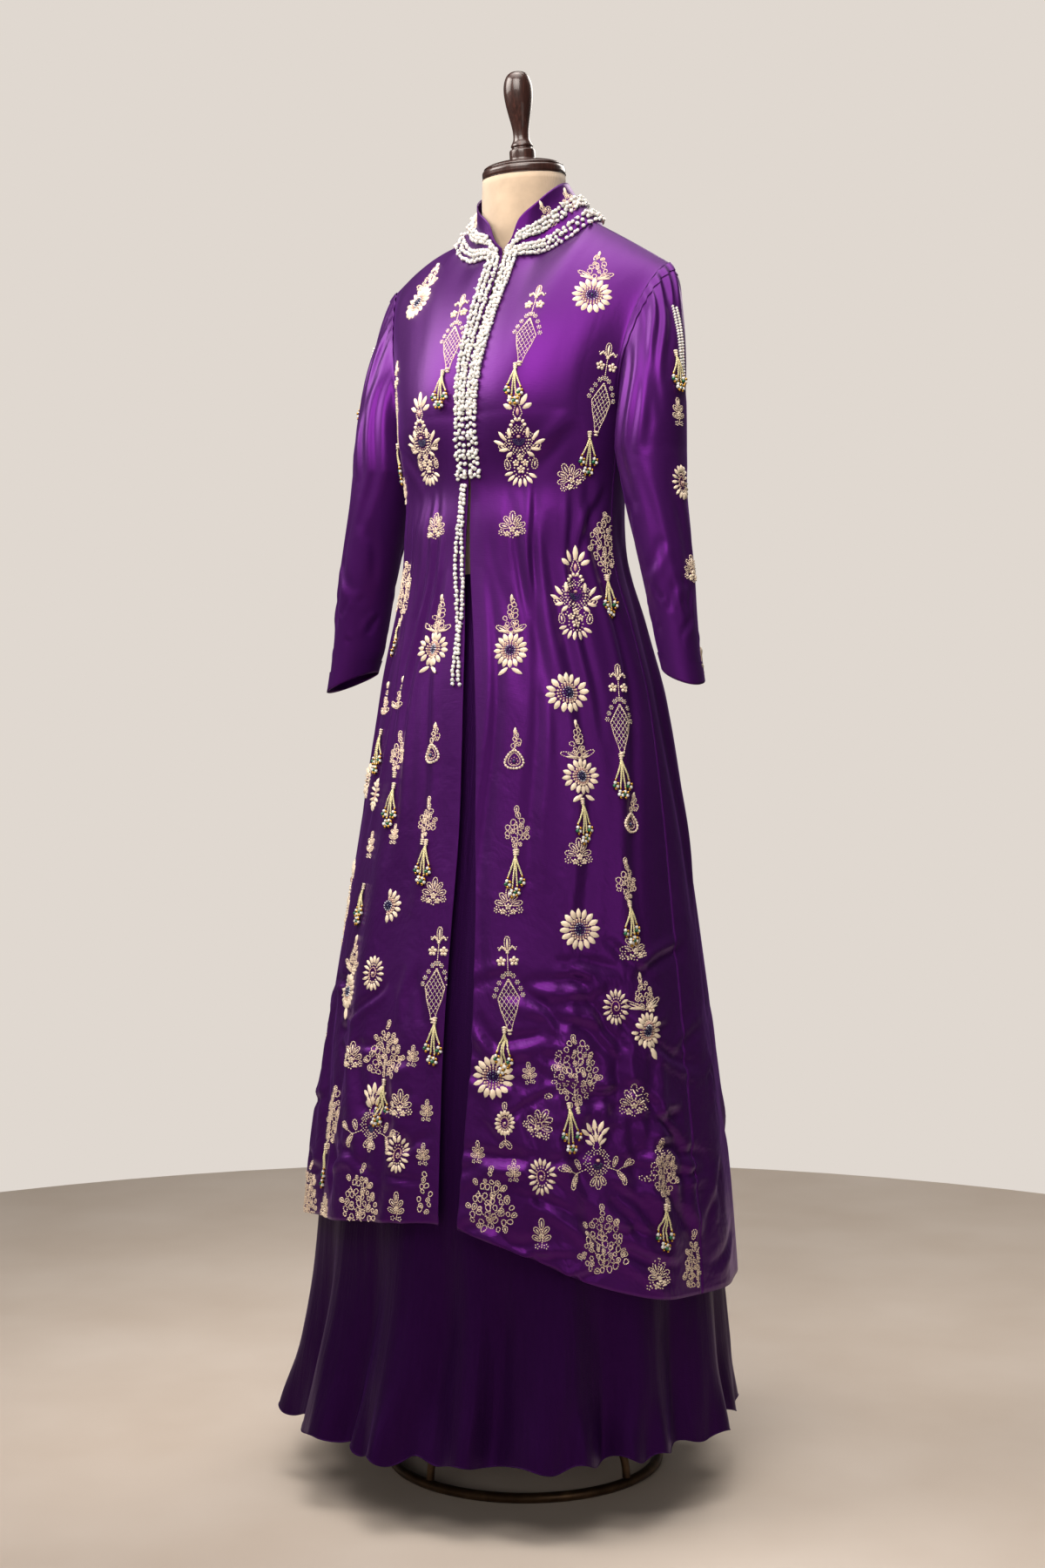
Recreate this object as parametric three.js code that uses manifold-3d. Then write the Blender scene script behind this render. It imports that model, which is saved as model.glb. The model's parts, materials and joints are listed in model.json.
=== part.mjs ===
// Jacket lehenga on a dress form: a long open jacket with a stand collar, set-in sleeves and a
// rising front hem, worn over a flared skirt with a wavy sheer hem and a shorter lining.
// Millimetres, +Z up. The front faces -Y and the wearer's left is +X. The origin lies on the
// floor below the middle of the whole. Sections and angles are taken from the pole's axis, which
// stands POLE_Y behind the origin: 0 degrees is the front, and they grow to the wearer's left.
import * as THREE from 'three';
import { mergeVertices } from 'three/addons/utils/BufferGeometryUtils.js';
import Module from 'manifold-3d';

const wasm = await Module();
wasm.setup();

// ---------------------------------------------------------------- driving dimensions
const SEAM_GAP = 0.3;
const JACKET_WALL = 1.6;
const SKIRT_WALL = 1.4;
const UNDERARM_Z = 1310;
const SIDE_SEAM_ANGLE = 88;
const NECK_TURN = 8;
const RAISED_WORK = 1.6;
const CAP_CENTRE_Y = -2;
const POLE_Y = 35;

// Jacket sections: half width at the sides, reach in front of and behind the pole's axis, and
// how far the widest line lies from that axis (negative towards the front).
const JACKET_SECTIONS = [
  { z: 1400, side: 165, front: 118, back: 90, centre: -24 },
  { z: 1310, side: 163, front: 131, back: 85, centre: -28 },
  { z: 1250, side: 157, front: 133, back: 81, centre: -28 },
  { z: 1190, side: 152, front: 133, back: 85, centre: -28 },
  { z: 1130, side: 153, front: 137, back: 94, centre: -24 },
  { z: 1055, side: 170, front: 147, back: 114, centre: -13 },
  { z: 968, side: 191, front: 163, back: 142, centre: -6 },
  { z: 821, side: 214, front: 190, back: 170, centre: -6 },
  { z: 726, side: 226, front: 210, back: 188, centre: -8 },
  { z: 612, side: 240, front: 232, back: 204, centre: -10 },
  { z: 487, side: 256, front: 252, back: 219, centre: -14 },
  { z: 388, side: 267, front: 266, back: 228, centre: -16 },
  { z: 300, side: 275, front: 275, back: 234, centre: -18 },
  { z: 220, side: 281, front: 282, back: 240, centre: -20 },
];

// The front opening: the angle of its middle and its width at each height.
const OPENING = [
  { z: 1520, angle: 8, gap: 3 },
  { z: 1450, angle: 6, gap: 3 },
  { z: 1330, angle: 3.5, gap: 3 },
  { z: 1227, angle: 4, gap: 4 },
  { z: 1130, angle: 5, gap: 9 },
  { z: 1030, angle: 8.8, gap: 14 },
  { z: 900, angle: 12.6, gap: 20 },
  { z: 788, angle: 14.7, gap: 24 },
  { z: 662, angle: 15.8, gap: 34 },
  { z: 549, angle: 16.4, gap: 39 },
  { z: 479, angle: 16.4, gap: 35 },
  { z: 330, angle: 16.4, gap: 25 },
];

// The jacket's hem height round the body, highest at the opening.
const JACKET_HEM = [
  { angle: -180, z: 262 },
  { angle: -120, z: 278 },
  { angle: -67, z: 306 },
  { angle: -49, z: 321 },
  { angle: -24, z: 335 },
  { angle: 0, z: 346 },
  { angle: 14, z: 349 },
  { angle: 34, z: 326 },
  { angle: 58, z: 279 },
  { angle: 78, z: 257 },
  { angle: 120, z: 251 },
  { angle: 180, z: 262 },
];

// Jacket folds: where the ridge or trough starts and what it measures at the hem.
const JACKET_FOLDS = [
  { angle: -160, lean: 3, start: 1120, depth: 10, width: 11 },
  { angle: -132, lean: -4, start: 1000, depth: 8, width: 9 },
  { angle: -106, lean: 3, start: 1100, depth: 9, width: 9 },
  { angle: -80, lean: -3, start: 1150, depth: 7, width: 8 },
  { angle: -52, lean: 4, start: 1050, depth: 8, width: 8 },
  { angle: -26, lean: 5, start: 1180, depth: 13, width: 7 },
  { angle: -2, lean: 2, start: 900, depth: 7, width: 6 },
  { angle: 30, lean: 2, start: 1180, depth: 7, width: 8 },
  { angle: 49, lean: -3, start: 1000, depth: 8, width: 8 },
  { angle: 70, lean: 3, start: 1120, depth: 8, width: 8 },
  { angle: 96, lean: 4, start: 1150, depth: 9, width: 9 },
  { angle: 122, lean: -3, start: 1060, depth: 10, width: 10 },
  { angle: 150, lean: 3, start: 1140, depth: 9, width: 10 },
  { angle: 176, lean: -2, start: 1090, depth: 8, width: 9 },
];
const FOLD_TROUGH = 4;

// The neckline seam round the neck: distance from the axis and height.
const NECKLINE = [
  { angle: 0, radius: 60, z: 1519 },
  { angle: 25, radius: 61, z: 1518 },
  { angle: 54, radius: 68, z: 1520 },
  { angle: 75, radius: 88, z: 1537 },
  { angle: 90, radius: 106, z: 1558 },
  { angle: 115, radius: 98, z: 1566 },
  { angle: 145, radius: 82, z: 1569 },
  { angle: 180, radius: 76, z: 1570 },
];

// The collar's upper edge, close round the neck, dipping to a point in front.
const COLLAR_EDGE = [
  { angle: 0, radius: 61, z: 1525 },
  { angle: 11, radius: 62, z: 1538 },
  { angle: 20, radius: 62, z: 1561 },
  { angle: 43, radius: 62, z: 1582 },
  { angle: 68, radius: 61, z: 1602 },
  { angle: 90, radius: 59, z: 1614 },
  { angle: 130, radius: 55, z: 1621 },
  { angle: 180, radius: 53, z: 1624 },
];

const SHOULDER_TIP = { x: 205, y: 20, z: 1512 };
const ARMHOLE_FRONT = { low: { x: 167, y: -64, z: 1362 }, high: { x: 192, y: -34, z: 1472 } };
const ARMHOLE_BACK = { low: { x: 169, y: 26, z: 1362 }, high: { x: 192, y: 60, z: 1472 } };

// Sleeve sections below the armhole: centre, half width outwards, half width forwards, turn.
const SLEEVE_SECTIONS = [
  { z: 1262, x: 205, y: -27, out: 41, fore: 49, turn: 0 },
  { z: 1205, x: 214, y: -31, out: 37, fore: 45, turn: 4 },
  { z: 1150, x: 225, y: -33, out: 34, fore: 42, turn: 10 },
  { z: 1105, x: 234, y: -34, out: 31, fore: 40, turn: 18 },
  { z: 1060, x: 241, y: -34, out: 28, fore: 37, turn: 26 },
  { z: 1020, x: 248, y: -35, out: 26, fore: 35, turn: 32 },
  { z: 990, x: 255, y: -36, out: 25, fore: 34, turn: 35 },
];
const CUFF_DIP = 14;
const SLEEVE_HEAD_GATHER = 2.6;

// Skirt sections: the flare between its seams, before folds and ruffle.
const SKIRT_SECTIONS = [
  { z: 1116, side: 133.9, front: 115.9, back: 76.9, centre: -22 },
  { z: 1055, side: 152, front: 130, back: 98, centre: -13 },
  { z: 968, side: 174, front: 146, back: 126, centre: -6 },
  { z: 821, side: 198, front: 174, back: 154, centre: -6 },
  { z: 612, side: 225, front: 216, back: 189, centre: -10 },
  { z: 487, side: 241, front: 236, back: 204, centre: -14 },
  { z: 350, side: 256, front: 253, back: 216, centre: -18 },
  { z: 240, side: 264, front: 264, back: 224, centre: -20 },
  { z: 150, side: 272, front: 286, back: 234, centre: -24 },
  { z: 75, side: 283, front: 310, back: 246, centre: -28 },
];
const SKIRT_TOP_Z = 1116;
const SKIRT_HEM_Z = 84;
const LINING_HEM_Z = 112;
const SKIRT_FLUTES = [
  { angle: -168, depth: 11, width: 9 },
  { angle: -143, depth: 8, width: 8 },
  { angle: -118, depth: 12, width: 8 },
  { angle: -93, depth: 8, width: 7 },
  { angle: -68, depth: 10, width: 8 },
  { angle: -45, depth: 9, width: 7 },
  { angle: -24, depth: 12, width: 7 },
  { angle: 2, depth: 13, width: 7 },
  { angle: 24, depth: 8, width: 7 },
  { angle: 46, depth: 11, width: 8 },
  { angle: 70, depth: 8, width: 7 },
  { angle: 94, depth: 12, width: 8 },
  { angle: 120, depth: 9, width: 8 },
  { angle: 145, depth: 12, width: 9 },
  { angle: 169, depth: 8, width: 7 },
];
const RUFFLE_WAVES = 30;
const RUFFLE_SWING = 6;
const RUFFLE_LIFT = 4;
const LINING_INSET = 9;
const SPACE = 0.4;

// The padded form, from its flat underside to the top of the neck.
const FORM_SECTIONS = [
  { z: 930, side: 114, front: 88, back: 80, centre: -2 },
  { z: 948, side: 143, front: 114, back: 104, centre: -3 },
  { z: 1000, side: 146, front: 118, back: 98, centre: -7 },
  { z: 1060, side: 136, front: 114, back: 82, centre: -14 },
  { z: 1116, side: 129.3, front: 111.3, back: 72.3, centre: -22 },
  { z: 1180, side: 130, front: 114, back: 68, centre: -26 },
  { z: 1250, side: 139, front: 120, back: 66, centre: -28 },
  { z: 1310, side: 147, front: 118, back: 69, centre: -28 },
  { z: 1370, side: 151, front: 105, back: 68, centre: -20 },
  { z: 1430, side: 152, front: 84, back: 64, centre: -8 },
  { z: 1470, side: 150, front: 66, back: 52, centre: 0 },
  { z: 1500, side: 134, front: 48, back: 40, centre: 4 },
  { z: 1520, side: 88, front: 42, back: 40, centre: 4 },
  { z: 1538, side: 68, front: 46, back: 45, centre: 2 },
  { z: 1556, side: 58, front: 51, back: 50, centre: 0 },
  { z: 1580, side: 55, front: 54, back: 51, centre: -2 },
  { z: 1606, side: 54, front: 55, back: 51, centre: -3 },
  { z: 1628, side: 53, front: 55, back: 51, centre: -3 },
];
const NECK_LEAN = 7;

// Thick beadwork on the fronts: the middle of each motif and half of its width and height.
const MOTIFS = [
  { on: 'left', angle: 35, z: 1402, wide: 14, tall: 45 },
  { on: 'left', angle: 32, z: 1273, wide: 26, tall: 48 },
  { on: 'left', angle: 28.6, z: 1035, wide: 17, tall: 56 },
  { on: 'left', angle: 31, z: 896, wide: 14, tall: 27 },
  { on: 'left', angle: 30.3, z: 618, wide: 17, tall: 48 },
  { on: 'left', angle: 57.7, z: 1083, wide: 28, tall: 46 },
  { on: 'left', angle: 51.7, z: 968, wide: 24, tall: 24 },
  { on: 'left', angle: 51.5, z: 689, wide: 23, tall: 23 },
  { on: 'left', angle: 48.3, z: 527, wide: 28, tall: 36 },
  { on: 'left', angle: 53.4, z: 430, wide: 30, tall: 36 },
  { on: 'left', angle: 54, z: 334, wide: 28, tall: 34 },
  { on: 'left', angle: 73.3, z: 1150, wide: 20, tall: 36 },
  { on: 'left', angle: 71, z: 938, wide: 17, tall: 48 },
  { on: 'left', angle: 70.6, z: 585, wide: 20, tall: 48 },
  { on: 'left', angle: 71.6, z: 405, wide: 22, tall: 34 },
  { on: 'right', angle: -27.2, z: 1283, wide: 26, tall: 48 },
  { on: 'right', angle: -12, z: 1036, wide: 16, tall: 56 },
  { on: 'right', angle: -5.2, z: 903, wide: 13, tall: 27 },
  { on: 'right', angle: -49, z: 1100, wide: 21, tall: 38 },
  { on: 'right', angle: -25.4, z: 894, wide: 15, tall: 36 },
  { on: 'right', angle: -17.3, z: 630, wide: 16, tall: 24 },
  { on: 'right', angle: -10.8, z: 460, wide: 26, tall: 36 },
  { on: 'right', angle: -11.8, z: 369, wide: 26, tall: 33 },
  { on: 'right', angle: -33, z: 614, wide: 20, tall: 48 },
  { on: 'right', angle: -31.6, z: 449, wide: 22, tall: 34 },
];

// Tassels: the cloth that carries each, the angle and height of its root and its length.
const TASSELS = [
  { on: 'left', angle: 30.5, z: 1362, length: 38 },
  { on: 'left', angle: 31.8, z: 778, length: 44 },
  { on: 'left', angle: 29.4, z: 574, length: 44 },
  { on: 'left', angle: 54.2, z: 838, length: 42 },
  { on: 'left', angle: 46.2, z: 488, length: 44 },
  { on: 'left', angle: 63.4, z: 1280, length: 42 },
  { on: 'left', angle: 73.8, z: 1108, length: 40 },
  { on: 'left', angle: 69.1, z: 891, length: 42 },
  { on: 'left', angle: 67.4, z: 717, length: 40 },
  { on: 'left', angle: 70.7, z: 366, length: 42 },
  { on: 'sleeve_left', angle: 75, z: 1375, length: 38 },
  { on: 'right', angle: -14.1, z: 1364, length: 38 },
  { on: 'right', angle: -1.9, z: 788, length: 44 },
  { on: 'right', angle: 8.2, z: 581, length: 42 },
  { on: 'right', angle: -49, z: 1062, length: 36 },
  { on: 'right', angle: -23.7, z: 855, length: 42 },
  { on: 'right', angle: -8, z: 504, length: 42 },
  { on: 'right', angle: -62, z: 1290, length: 42 },
  { on: 'right', angle: -44.3, z: 922, length: 44 },
  { on: 'right', angle: -34.1, z: 730, length: 40 },
  { on: 'right', angle: -31.8, z: 413, length: 42 },
  { on: 'sleeve_right', angle: -75, z: 1375, length: 38 },
];

// ---------------------------------------------------------------- shared functions
const rad = THREE.MathUtils.degToRad;
const mix = THREE.MathUtils.lerp;
const ease = (low, high, value) => THREE.MathUtils.smoothstep(value, low, high);

// A value from a table of rows, eased through the rows on either side.
function along(table, key, at, column) {
  const rows = table[0][key] < table[table.length - 1][key] ? table : [...table].reverse();
  const last = rows.length - 1;
  const clamped = THREE.MathUtils.clamp(at, rows[0][key], rows[last][key]);
  let i = 0;
  while (i < last - 1 && clamped > rows[i + 1][key]) i += 1;
  const span = rows[i + 1][key] - rows[i][key];
  const slope = (k) => {
    const before = rows[Math.max(k - 1, 0)];
    const after = rows[Math.min(k + 1, last)];
    return (after[column] - before[column]) / (after[key] - before[key]);
  };
  const t = (clamped - rows[i][key]) / span;
  const start = rows[i][column];
  const end = rows[i + 1][column];
  const enter = slope(i) * span;
  const leave = slope(i + 1) * span;
  const t2 = t * t;
  const t3 = t2 * t;
  return start * (2 * t3 - 3 * t2 + 1) + enter * (t3 - 2 * t2 + t)
    + end * (3 * t2 - 2 * t3) + leave * (t3 - t2);
}

// Shortest turn from one angle to another, in degrees.
const turnBetween = (from, to) => THREE.MathUtils.euclideanModulo(to - from + 180, 360) - 180;

const bell = (offset, width) => Math.exp(-((offset / width) ** 2));

// The point of an oval section at an angle, pushed outwards by extra millimetres.
function sectionPoint(sections, angle, z, extra = 0) {
  const side = along(sections, 'z', z, 'side');
  const centre = along(sections, 'z', z, 'centre');
  const sine = Math.sin(rad(angle));
  const cosine = Math.cos(rad(angle));
  const depth = cosine > 0 ? along(sections, 'z', z, 'front') + centre
    : along(sections, 'z', z, 'back') - centre;
  const radius = 1 / Math.hypot(sine / side, cosine / depth) + extra;
  return new THREE.Vector3(radius * sine, centre - radius * cosine, z);
}

// Fold relief in the jacket: ridges that grow from their start to the hem.
function jacketRelief(angle, z) {
  let relief = 0;
  for (const fold of JACKET_FOLDS) {
    const growth = ease(0, fold.start - 300, fold.start - z);
    const offset = turnBetween(fold.angle + fold.lean * growth, angle);
    relief += fold.depth * growth * bell(offset, fold.width);
  }
  return relief - FOLD_TROUGH * ease(0, 700, 1180 - z);
}

const jacketPoint = (angle, z) => sectionPoint(JACKET_SECTIONS, angle, z, jacketRelief(angle, z));

// Relief of the skirt: flutes that open out below the jacket, and the ruffle of the rolled hem.
function skirtRelief(angle, z, ruffle) {
  const open = ease(0, 1, (420 - z) / 330);
  let relief = 0;
  for (const flute of SKIRT_FLUTES) {
    relief += flute.depth * bell(turnBetween(flute.angle, angle), flute.width);
  }
  const wave = Math.sin(rad(angle) * RUFFLE_WAVES + 1.3 * Math.sin(rad(angle) * 5));
  const swing = ruffle * RUFFLE_SWING * ease(0, 1, (170 - z) / 90) * wave;
  const gathered = 0.22 * ease(0, 90, SKIRT_TOP_Z - z);
  return (relief - 5) * (gathered + 0.78 * open) + swing;
}

// A cubic curve from one point to another through two leading points.
function bezier(a, b, c, d, t) {
  const s = 1 - t;
  return new THREE.Vector3()
    .addScaledVector(a, s * s * s)
    .addScaledVector(b, 3 * s * s * t)
    .addScaledVector(c, 3 * s * t * t)
    .addScaledVector(d, t * t * t);
}

const vector = ({ x, y, z }, mirror = 1) => new THREE.Vector3(mirror * x, y, z);

// ---------------------------------------------------------------- walls from grids of points
// Direction of the surface at each point of a grid of rows, facing away from the wearer.
function gridNormals(rows, closed, facing) {
  const count = rows.length ? rows[0].length : 0;
  return rows.map((row, i) => row.map((point, j) => {
    const up = rows[Math.min(i + 1, rows.length - 1)][j];
    const down = rows[Math.max(i - 1, 0)][j];
    const right = closed ? row[(j + 1) % count] : row[Math.min(j + 1, count - 1)];
    const left = closed ? row[(j + count - 1) % count] : row[Math.max(j - 1, 0)];
    const across = right.clone().sub(left);
    const rise = up.clone().sub(down);
    return across.cross(rise).normalize().multiplyScalar(facing);
  }));
}

// A closed body between two point lists that share one set of triangles, plus its rims.
function bodyBetween(outer, inner, triangles, rims) {
  const points = [...outer, ...inner];
  const shift = outer.length;
  const index = [];
  for (const [a, b, c] of triangles) {
    index.push(a, b, c, a + shift, c + shift, b + shift);
  }
  for (const [a, b] of rims) {
    index.push(a, a + shift, b + shift, a, b + shift, b);
  }
  return closedGeometry(points, index);
}

function closedGeometry(points, index) {
  const flat = points.flatMap((point) => [point.x, point.y, point.z]);
  const geometry = new THREE.BufferGeometry();
  geometry.setAttribute('position', new THREE.Float32BufferAttribute(flat, 3));
  geometry.setIndex(index);
  return geometry;
}

// A wall of even thickness behind an outer grid. Rows run upwards, columns run in the order
// that makes across x rise face outwards when facing is 1.
function wall(rows, thickness, { closed = false, facing = 1, raise = null, seam = null } = {}) {
  const normals = gridNormals(rows, closed, facing).map((row, i) => row.map(
    (normal, j) => (seam && seam(i, j, normal)) || normal));
  const count = rows[0].length;
  const outer = [];
  const inner = [];
  rows.forEach((row, i) => row.forEach((point, j) => {
    const lift = raise ? raise(point, i, j) : 0;
    outer.push(point.clone().addScaledVector(normals[i][j], lift));
    inner.push(point.clone().addScaledVector(normals[i][j], -thickness));
  }));
  const at = (i, j) => i * count + (j % count);
  const spans = closed ? count : count - 1;
  const triangles = [];
  for (let i = 0; i < rows.length - 1; i += 1) {
    for (let j = 0; j < spans; j += 1) {
      triangles.push([at(i, j), at(i, j + 1), at(i + 1, j + 1)]);
      triangles.push([at(i, j), at(i + 1, j + 1), at(i + 1, j)]);
    }
  }
  const rims = [];
  const top = rows.length - 1;
  for (let j = 0; j < spans; j += 1) {
    rims.push([at(0, j), at(0, j + 1)], [at(top, j + 1), at(top, j)]);
  }
  if (!closed) {
    for (let i = 0; i < top; i += 1) {
      rims.push([at(i + 1, 0), at(i, 0)], [at(i, count - 1), at(i + 1, count - 1)]);
    }
  }
  const ordered = facing > 0 ? triangles : triangles.map(([a, b, c]) => [a, c, b]);
  const turned = facing > 0 ? rims : rims.map(([a, b]) => [b, a]);
  return bodyBetween(outer, inner, ordered, turned);
}

// A closed tube of rings whose lower rings have twice as many points as its upper ones.
function flaredWall(coarse, fine, thickness) {
  const all = [...coarse, ...fine];
  const normals = [...gridNormals(coarse, true, -1), ...gridNormals(fine, true, -1)];
  const outer = all.flat();
  const directions = normals.flat();
  const inner = outer.map((point, k) => point.clone().addScaledVector(directions[k], -thickness));
  const starts = [];
  all.reduce((total, ring) => {
    starts.push(total);
    return total + ring.length;
  }, 0);
  const triangles = [];
  const rims = [];
  all.slice(1).forEach((lower, k) => {
    const upper = all[k];
    const a = (j) => starts[k] + (j % upper.length);
    const b = (j) => starts[k + 1] + (j % lower.length);
    for (let j = 0; j < upper.length; j += 1) {
      if (upper.length === lower.length) {
        triangles.push([a(j), b(j + 1), a(j + 1)], [a(j), b(j), b(j + 1)]);
      } else {
        triangles.push([a(j), b(2 * j), b(2 * j + 1)]);
        triangles.push([a(j), b(2 * j + 1), a(j + 1)]);
        triangles.push([a(j + 1), b(2 * j + 1), b(2 * j + 2)]);
      }
    }
  });
  const last = all[all.length - 1];
  const lastStart = starts[starts.length - 1];
  all[0].forEach((point, j) => rims.push([(j + 1) % all[0].length, j]));
  last.forEach((point, j) => rims.push([lastStart + j, lastStart + ((j + 1) % last.length)]));
  return bodyBetween(outer, inner, triangles, rims);
}

// A solid stack of rings, closed flat at both ends.
function stack(rings) {
  const count = rings[0].length;
  const points = rings.flat();
  const index = [];
  const at = (i, j) => i * count + (j % count);
  for (let i = 0; i < rings.length - 1; i += 1) {
    for (let j = 0; j < count; j += 1) {
      index.push(at(i, j), at(i, j + 1), at(i + 1, j + 1));
      index.push(at(i, j), at(i + 1, j + 1), at(i + 1, j));
    }
  }
  const middle = (ring) => ring.reduce((sum, p) => sum.add(p), new THREE.Vector3())
    .divideScalar(count);
  points.push(middle(rings[0]), middle(rings[rings.length - 1]));
  for (let j = 0; j < count; j += 1) {
    index.push(points.length - 2, at(0, j + 1), at(0, j));
    index.push(points.length - 1, at(rings.length - 1, j), at(rings.length - 1, j + 1));
  }
  return closedGeometry(points, index);
}

// ---------------------------------------------------------------- materials
const paint = (color, roughness, metalness = 0) => (
  new THREE.MeshStandardMaterial({ color, roughness, metalness }));
const SATIN = paint('#5e2186', 0.4);
const GEORGETTE = paint('#4b1575', 0.8);
const LINING = paint('#2a0a4a', 0.8);
const PEARL = paint('#f2efe8', 0.3);
const LINEN = paint('#cdbda8', 0.9);
const WOOD = paint('#3a211c', 0.25);
const BRONZE = paint('#5a4634', 0.4, 0.9);
const CORD = paint('#c9c79a', 0.7);

const lehenga = new THREE.Group();

function add(name, geometry, material) {
  const mesh = new THREE.Mesh(geometry, material);
  mesh.name = name;
  lehenga.add(mesh);
  return mesh;
}

// ---------------------------------------------------------------- jacket: fronts and back
const HEM_ROWS = [0, 0.5];
const LEVELS = [440, 535, 630, 725, 815, 900, 975, 1055, 1140, 1227, UNDERARM_Z];
const YOKE_STEPS = [0.11, 0.22, 0.34, 0.46, 0.58, 0.69, 0.79, 0.87, 0.94, 1];
const BAND_WIDTH = 24;

// The height of each row at an angle: two rows follow the hem, the rest are level.
function rowHeights(angle) {
  const hem = along(JACKET_HEM, 'angle', turnBetween(0, angle), 'z');
  return [...HEM_ROWS.map((t) => mix(hem, LEVELS[0], t)), ...LEVELS];
}

// The angle that a length along the cloth spans at a height.
const angleOf = (length, z) => THREE.MathUtils.radToDeg(
  length / sectionPoint(JACKET_SECTIONS, 0, z).setZ(0).length());

// Neckline point at an angle, turned a little with the opening in front.
function neckPoint(table, angle) {
  const spread = Math.abs(angle);
  const turned = angle + NECK_TURN * Math.max(0, Math.cos(rad(angle))) ** 2;
  const radius = along(table, 'angle', spread, 'radius');
  const z = along(table, 'angle', spread, 'z');
  return new THREE.Vector3(radius * Math.sin(rad(turned)), -radius * Math.cos(rad(turned)), z);
}

// Shares of a panel's width taken by each column, the trim's columns measured from the edge.
const FRONT_SHARES = [0.1, 0.18, 0.26, 0.34, 0.42, 0.5, 0.58, 0.66, 0.74, 0.83, 0.92, 1];
const frontColumns = FRONT_SHARES.length + 2;
const FRONT_NECK = [0, 12, 23, 36, 52, 70, 90];
const BACK_NECK = [90, 108, 126, 144, 162, 180];
const NECK_COLUMNS = FRONT_NECK.length - 1;

// Where a column of a front panel lies at a height, for the wearer's left (1) or right (-1).
function frontAngle(side, column, z) {
  const middle = along(OPENING, 'z', z, 'angle');
  const half = angleOf(along(OPENING, 'z', z, 'gap') / 2, z);
  const edge = middle + side * half;
  const trim = angleOf(BAND_WIDTH, z);
  const seam = side * (SIDE_SEAM_ANGLE - angleOf(SEAM_GAP / 2, z));
  if (column < 3) return edge + side * trim * column / 2;
  return mix(edge + side * trim, seam, FRONT_SHARES[column - 2]);
}

// Angle of a neckline column, kept clear of the opening at the first one.
function frontNeckAngle(column) {
  const open = THREE.MathUtils.radToDeg(OPENING[0].gap / 2 / NECKLINE[0].radius);
  return open * (1 - column / NECK_COLUMNS) + FRONT_NECK[column];
}

// The top edge of a front: the neckline as far as the shoulder, then the shoulder seam.
function frontTop(side, column) {
  const neckEnd = neckPoint(NECKLINE, side * 90);
  if (column <= NECK_COLUMNS) return neckPoint(NECKLINE, side * frontNeckAngle(column));
  const t = (column - NECK_COLUMNS) / (frontColumns - 1 - NECK_COLUMNS);
  const tip = vector(SHOULDER_TIP, side);
  return neckEnd.lerp(tip, t).setZ(mix(NECKLINE[4].z, tip.z, t) + 3 * Math.sin(Math.PI * t));
}

// Grid of a front panel, from hem to neckline and shoulder.
function frontGrid(side) {
  const rows = [];
  const lowerCount = HEM_ROWS.length + LEVELS.length;
  for (let i = 0; i < lowerCount; i += 1) {
    const row = [];
    for (let column = 0; column < frontColumns; column += 1) {
      const guess = frontAngle(side, column, LEVELS[Math.max(0, i - HEM_ROWS.length)]);
      const z = rowHeights(guess)[i];
      row.push(jacketPoint(frontAngle(side, column, z), z));
    }
    rows.push(row);
  }
  for (const t of YOKE_STEPS) {
    const row = [];
    for (let column = 0; column < frontColumns; column += 1) {
      const share = column / (frontColumns - 1);
      const low = rows[lowerCount - 1][column];
      const top = frontTop(side, column);
      const rise = (top.z - low.z) / 3;
      const lead = low.clone().add(new THREE.Vector3(side * 4 * share, -6 * (1 - share), rise));
      const slope = share < 0.4 ? mix(0.35, 0.8, share / 0.4) : 0.8;
      const drop = new THREE.Vector3(side * 3, -62 * slope, -rise * (1.25 - slope));
      const over = top.clone().add(drop);
      if (column === frontColumns - 1) {
        lead.copy(vector(ARMHOLE_FRONT.low, side));
        over.copy(vector(ARMHOLE_FRONT.high, side));
      }
      row.push(bezier(low, lead, over, top, t));
    }
    rows.push(row);
  }
  return rows;
}

// Along the shoulder seam both panels face straight up, so that their cut edges stay parallel.
const shoulderFacing = (side) => new THREE.Vector3(side * 0.42, 0, 0.907).normalize();

// Columns of the back, from the wearer's left side seam round to the right one.
const BACK_COLUMNS = 20;
const BACK_SHOULDER_COLUMNS = 5;

function backAngle(column, z) {
  const seam = SIDE_SEAM_ANGLE + angleOf(SEAM_GAP / 2, z);
  return mix(seam, 360 - seam, column / BACK_COLUMNS);
}

function backTop(column) {
  const side = column <= BACK_COLUMNS / 2 ? 1 : -1;
  const fromSeam = side > 0 ? column : BACK_COLUMNS - column;
  if (fromSeam > BACK_SHOULDER_COLUMNS) {
    return neckPoint(NECKLINE, side * BACK_NECK[fromSeam - BACK_SHOULDER_COLUMNS]);
  }
  const t = 1 - fromSeam / BACK_SHOULDER_COLUMNS;
  const tip = vector(SHOULDER_TIP, side);
  const lift = mix(NECKLINE[4].z, tip.z, t) + 3 * Math.sin(Math.PI * t);
  const point = neckPoint(NECKLINE, side * 90).lerp(tip, t).setZ(lift);
  return point.add(new THREE.Vector3(0, SEAM_GAP, 0));
}

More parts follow.
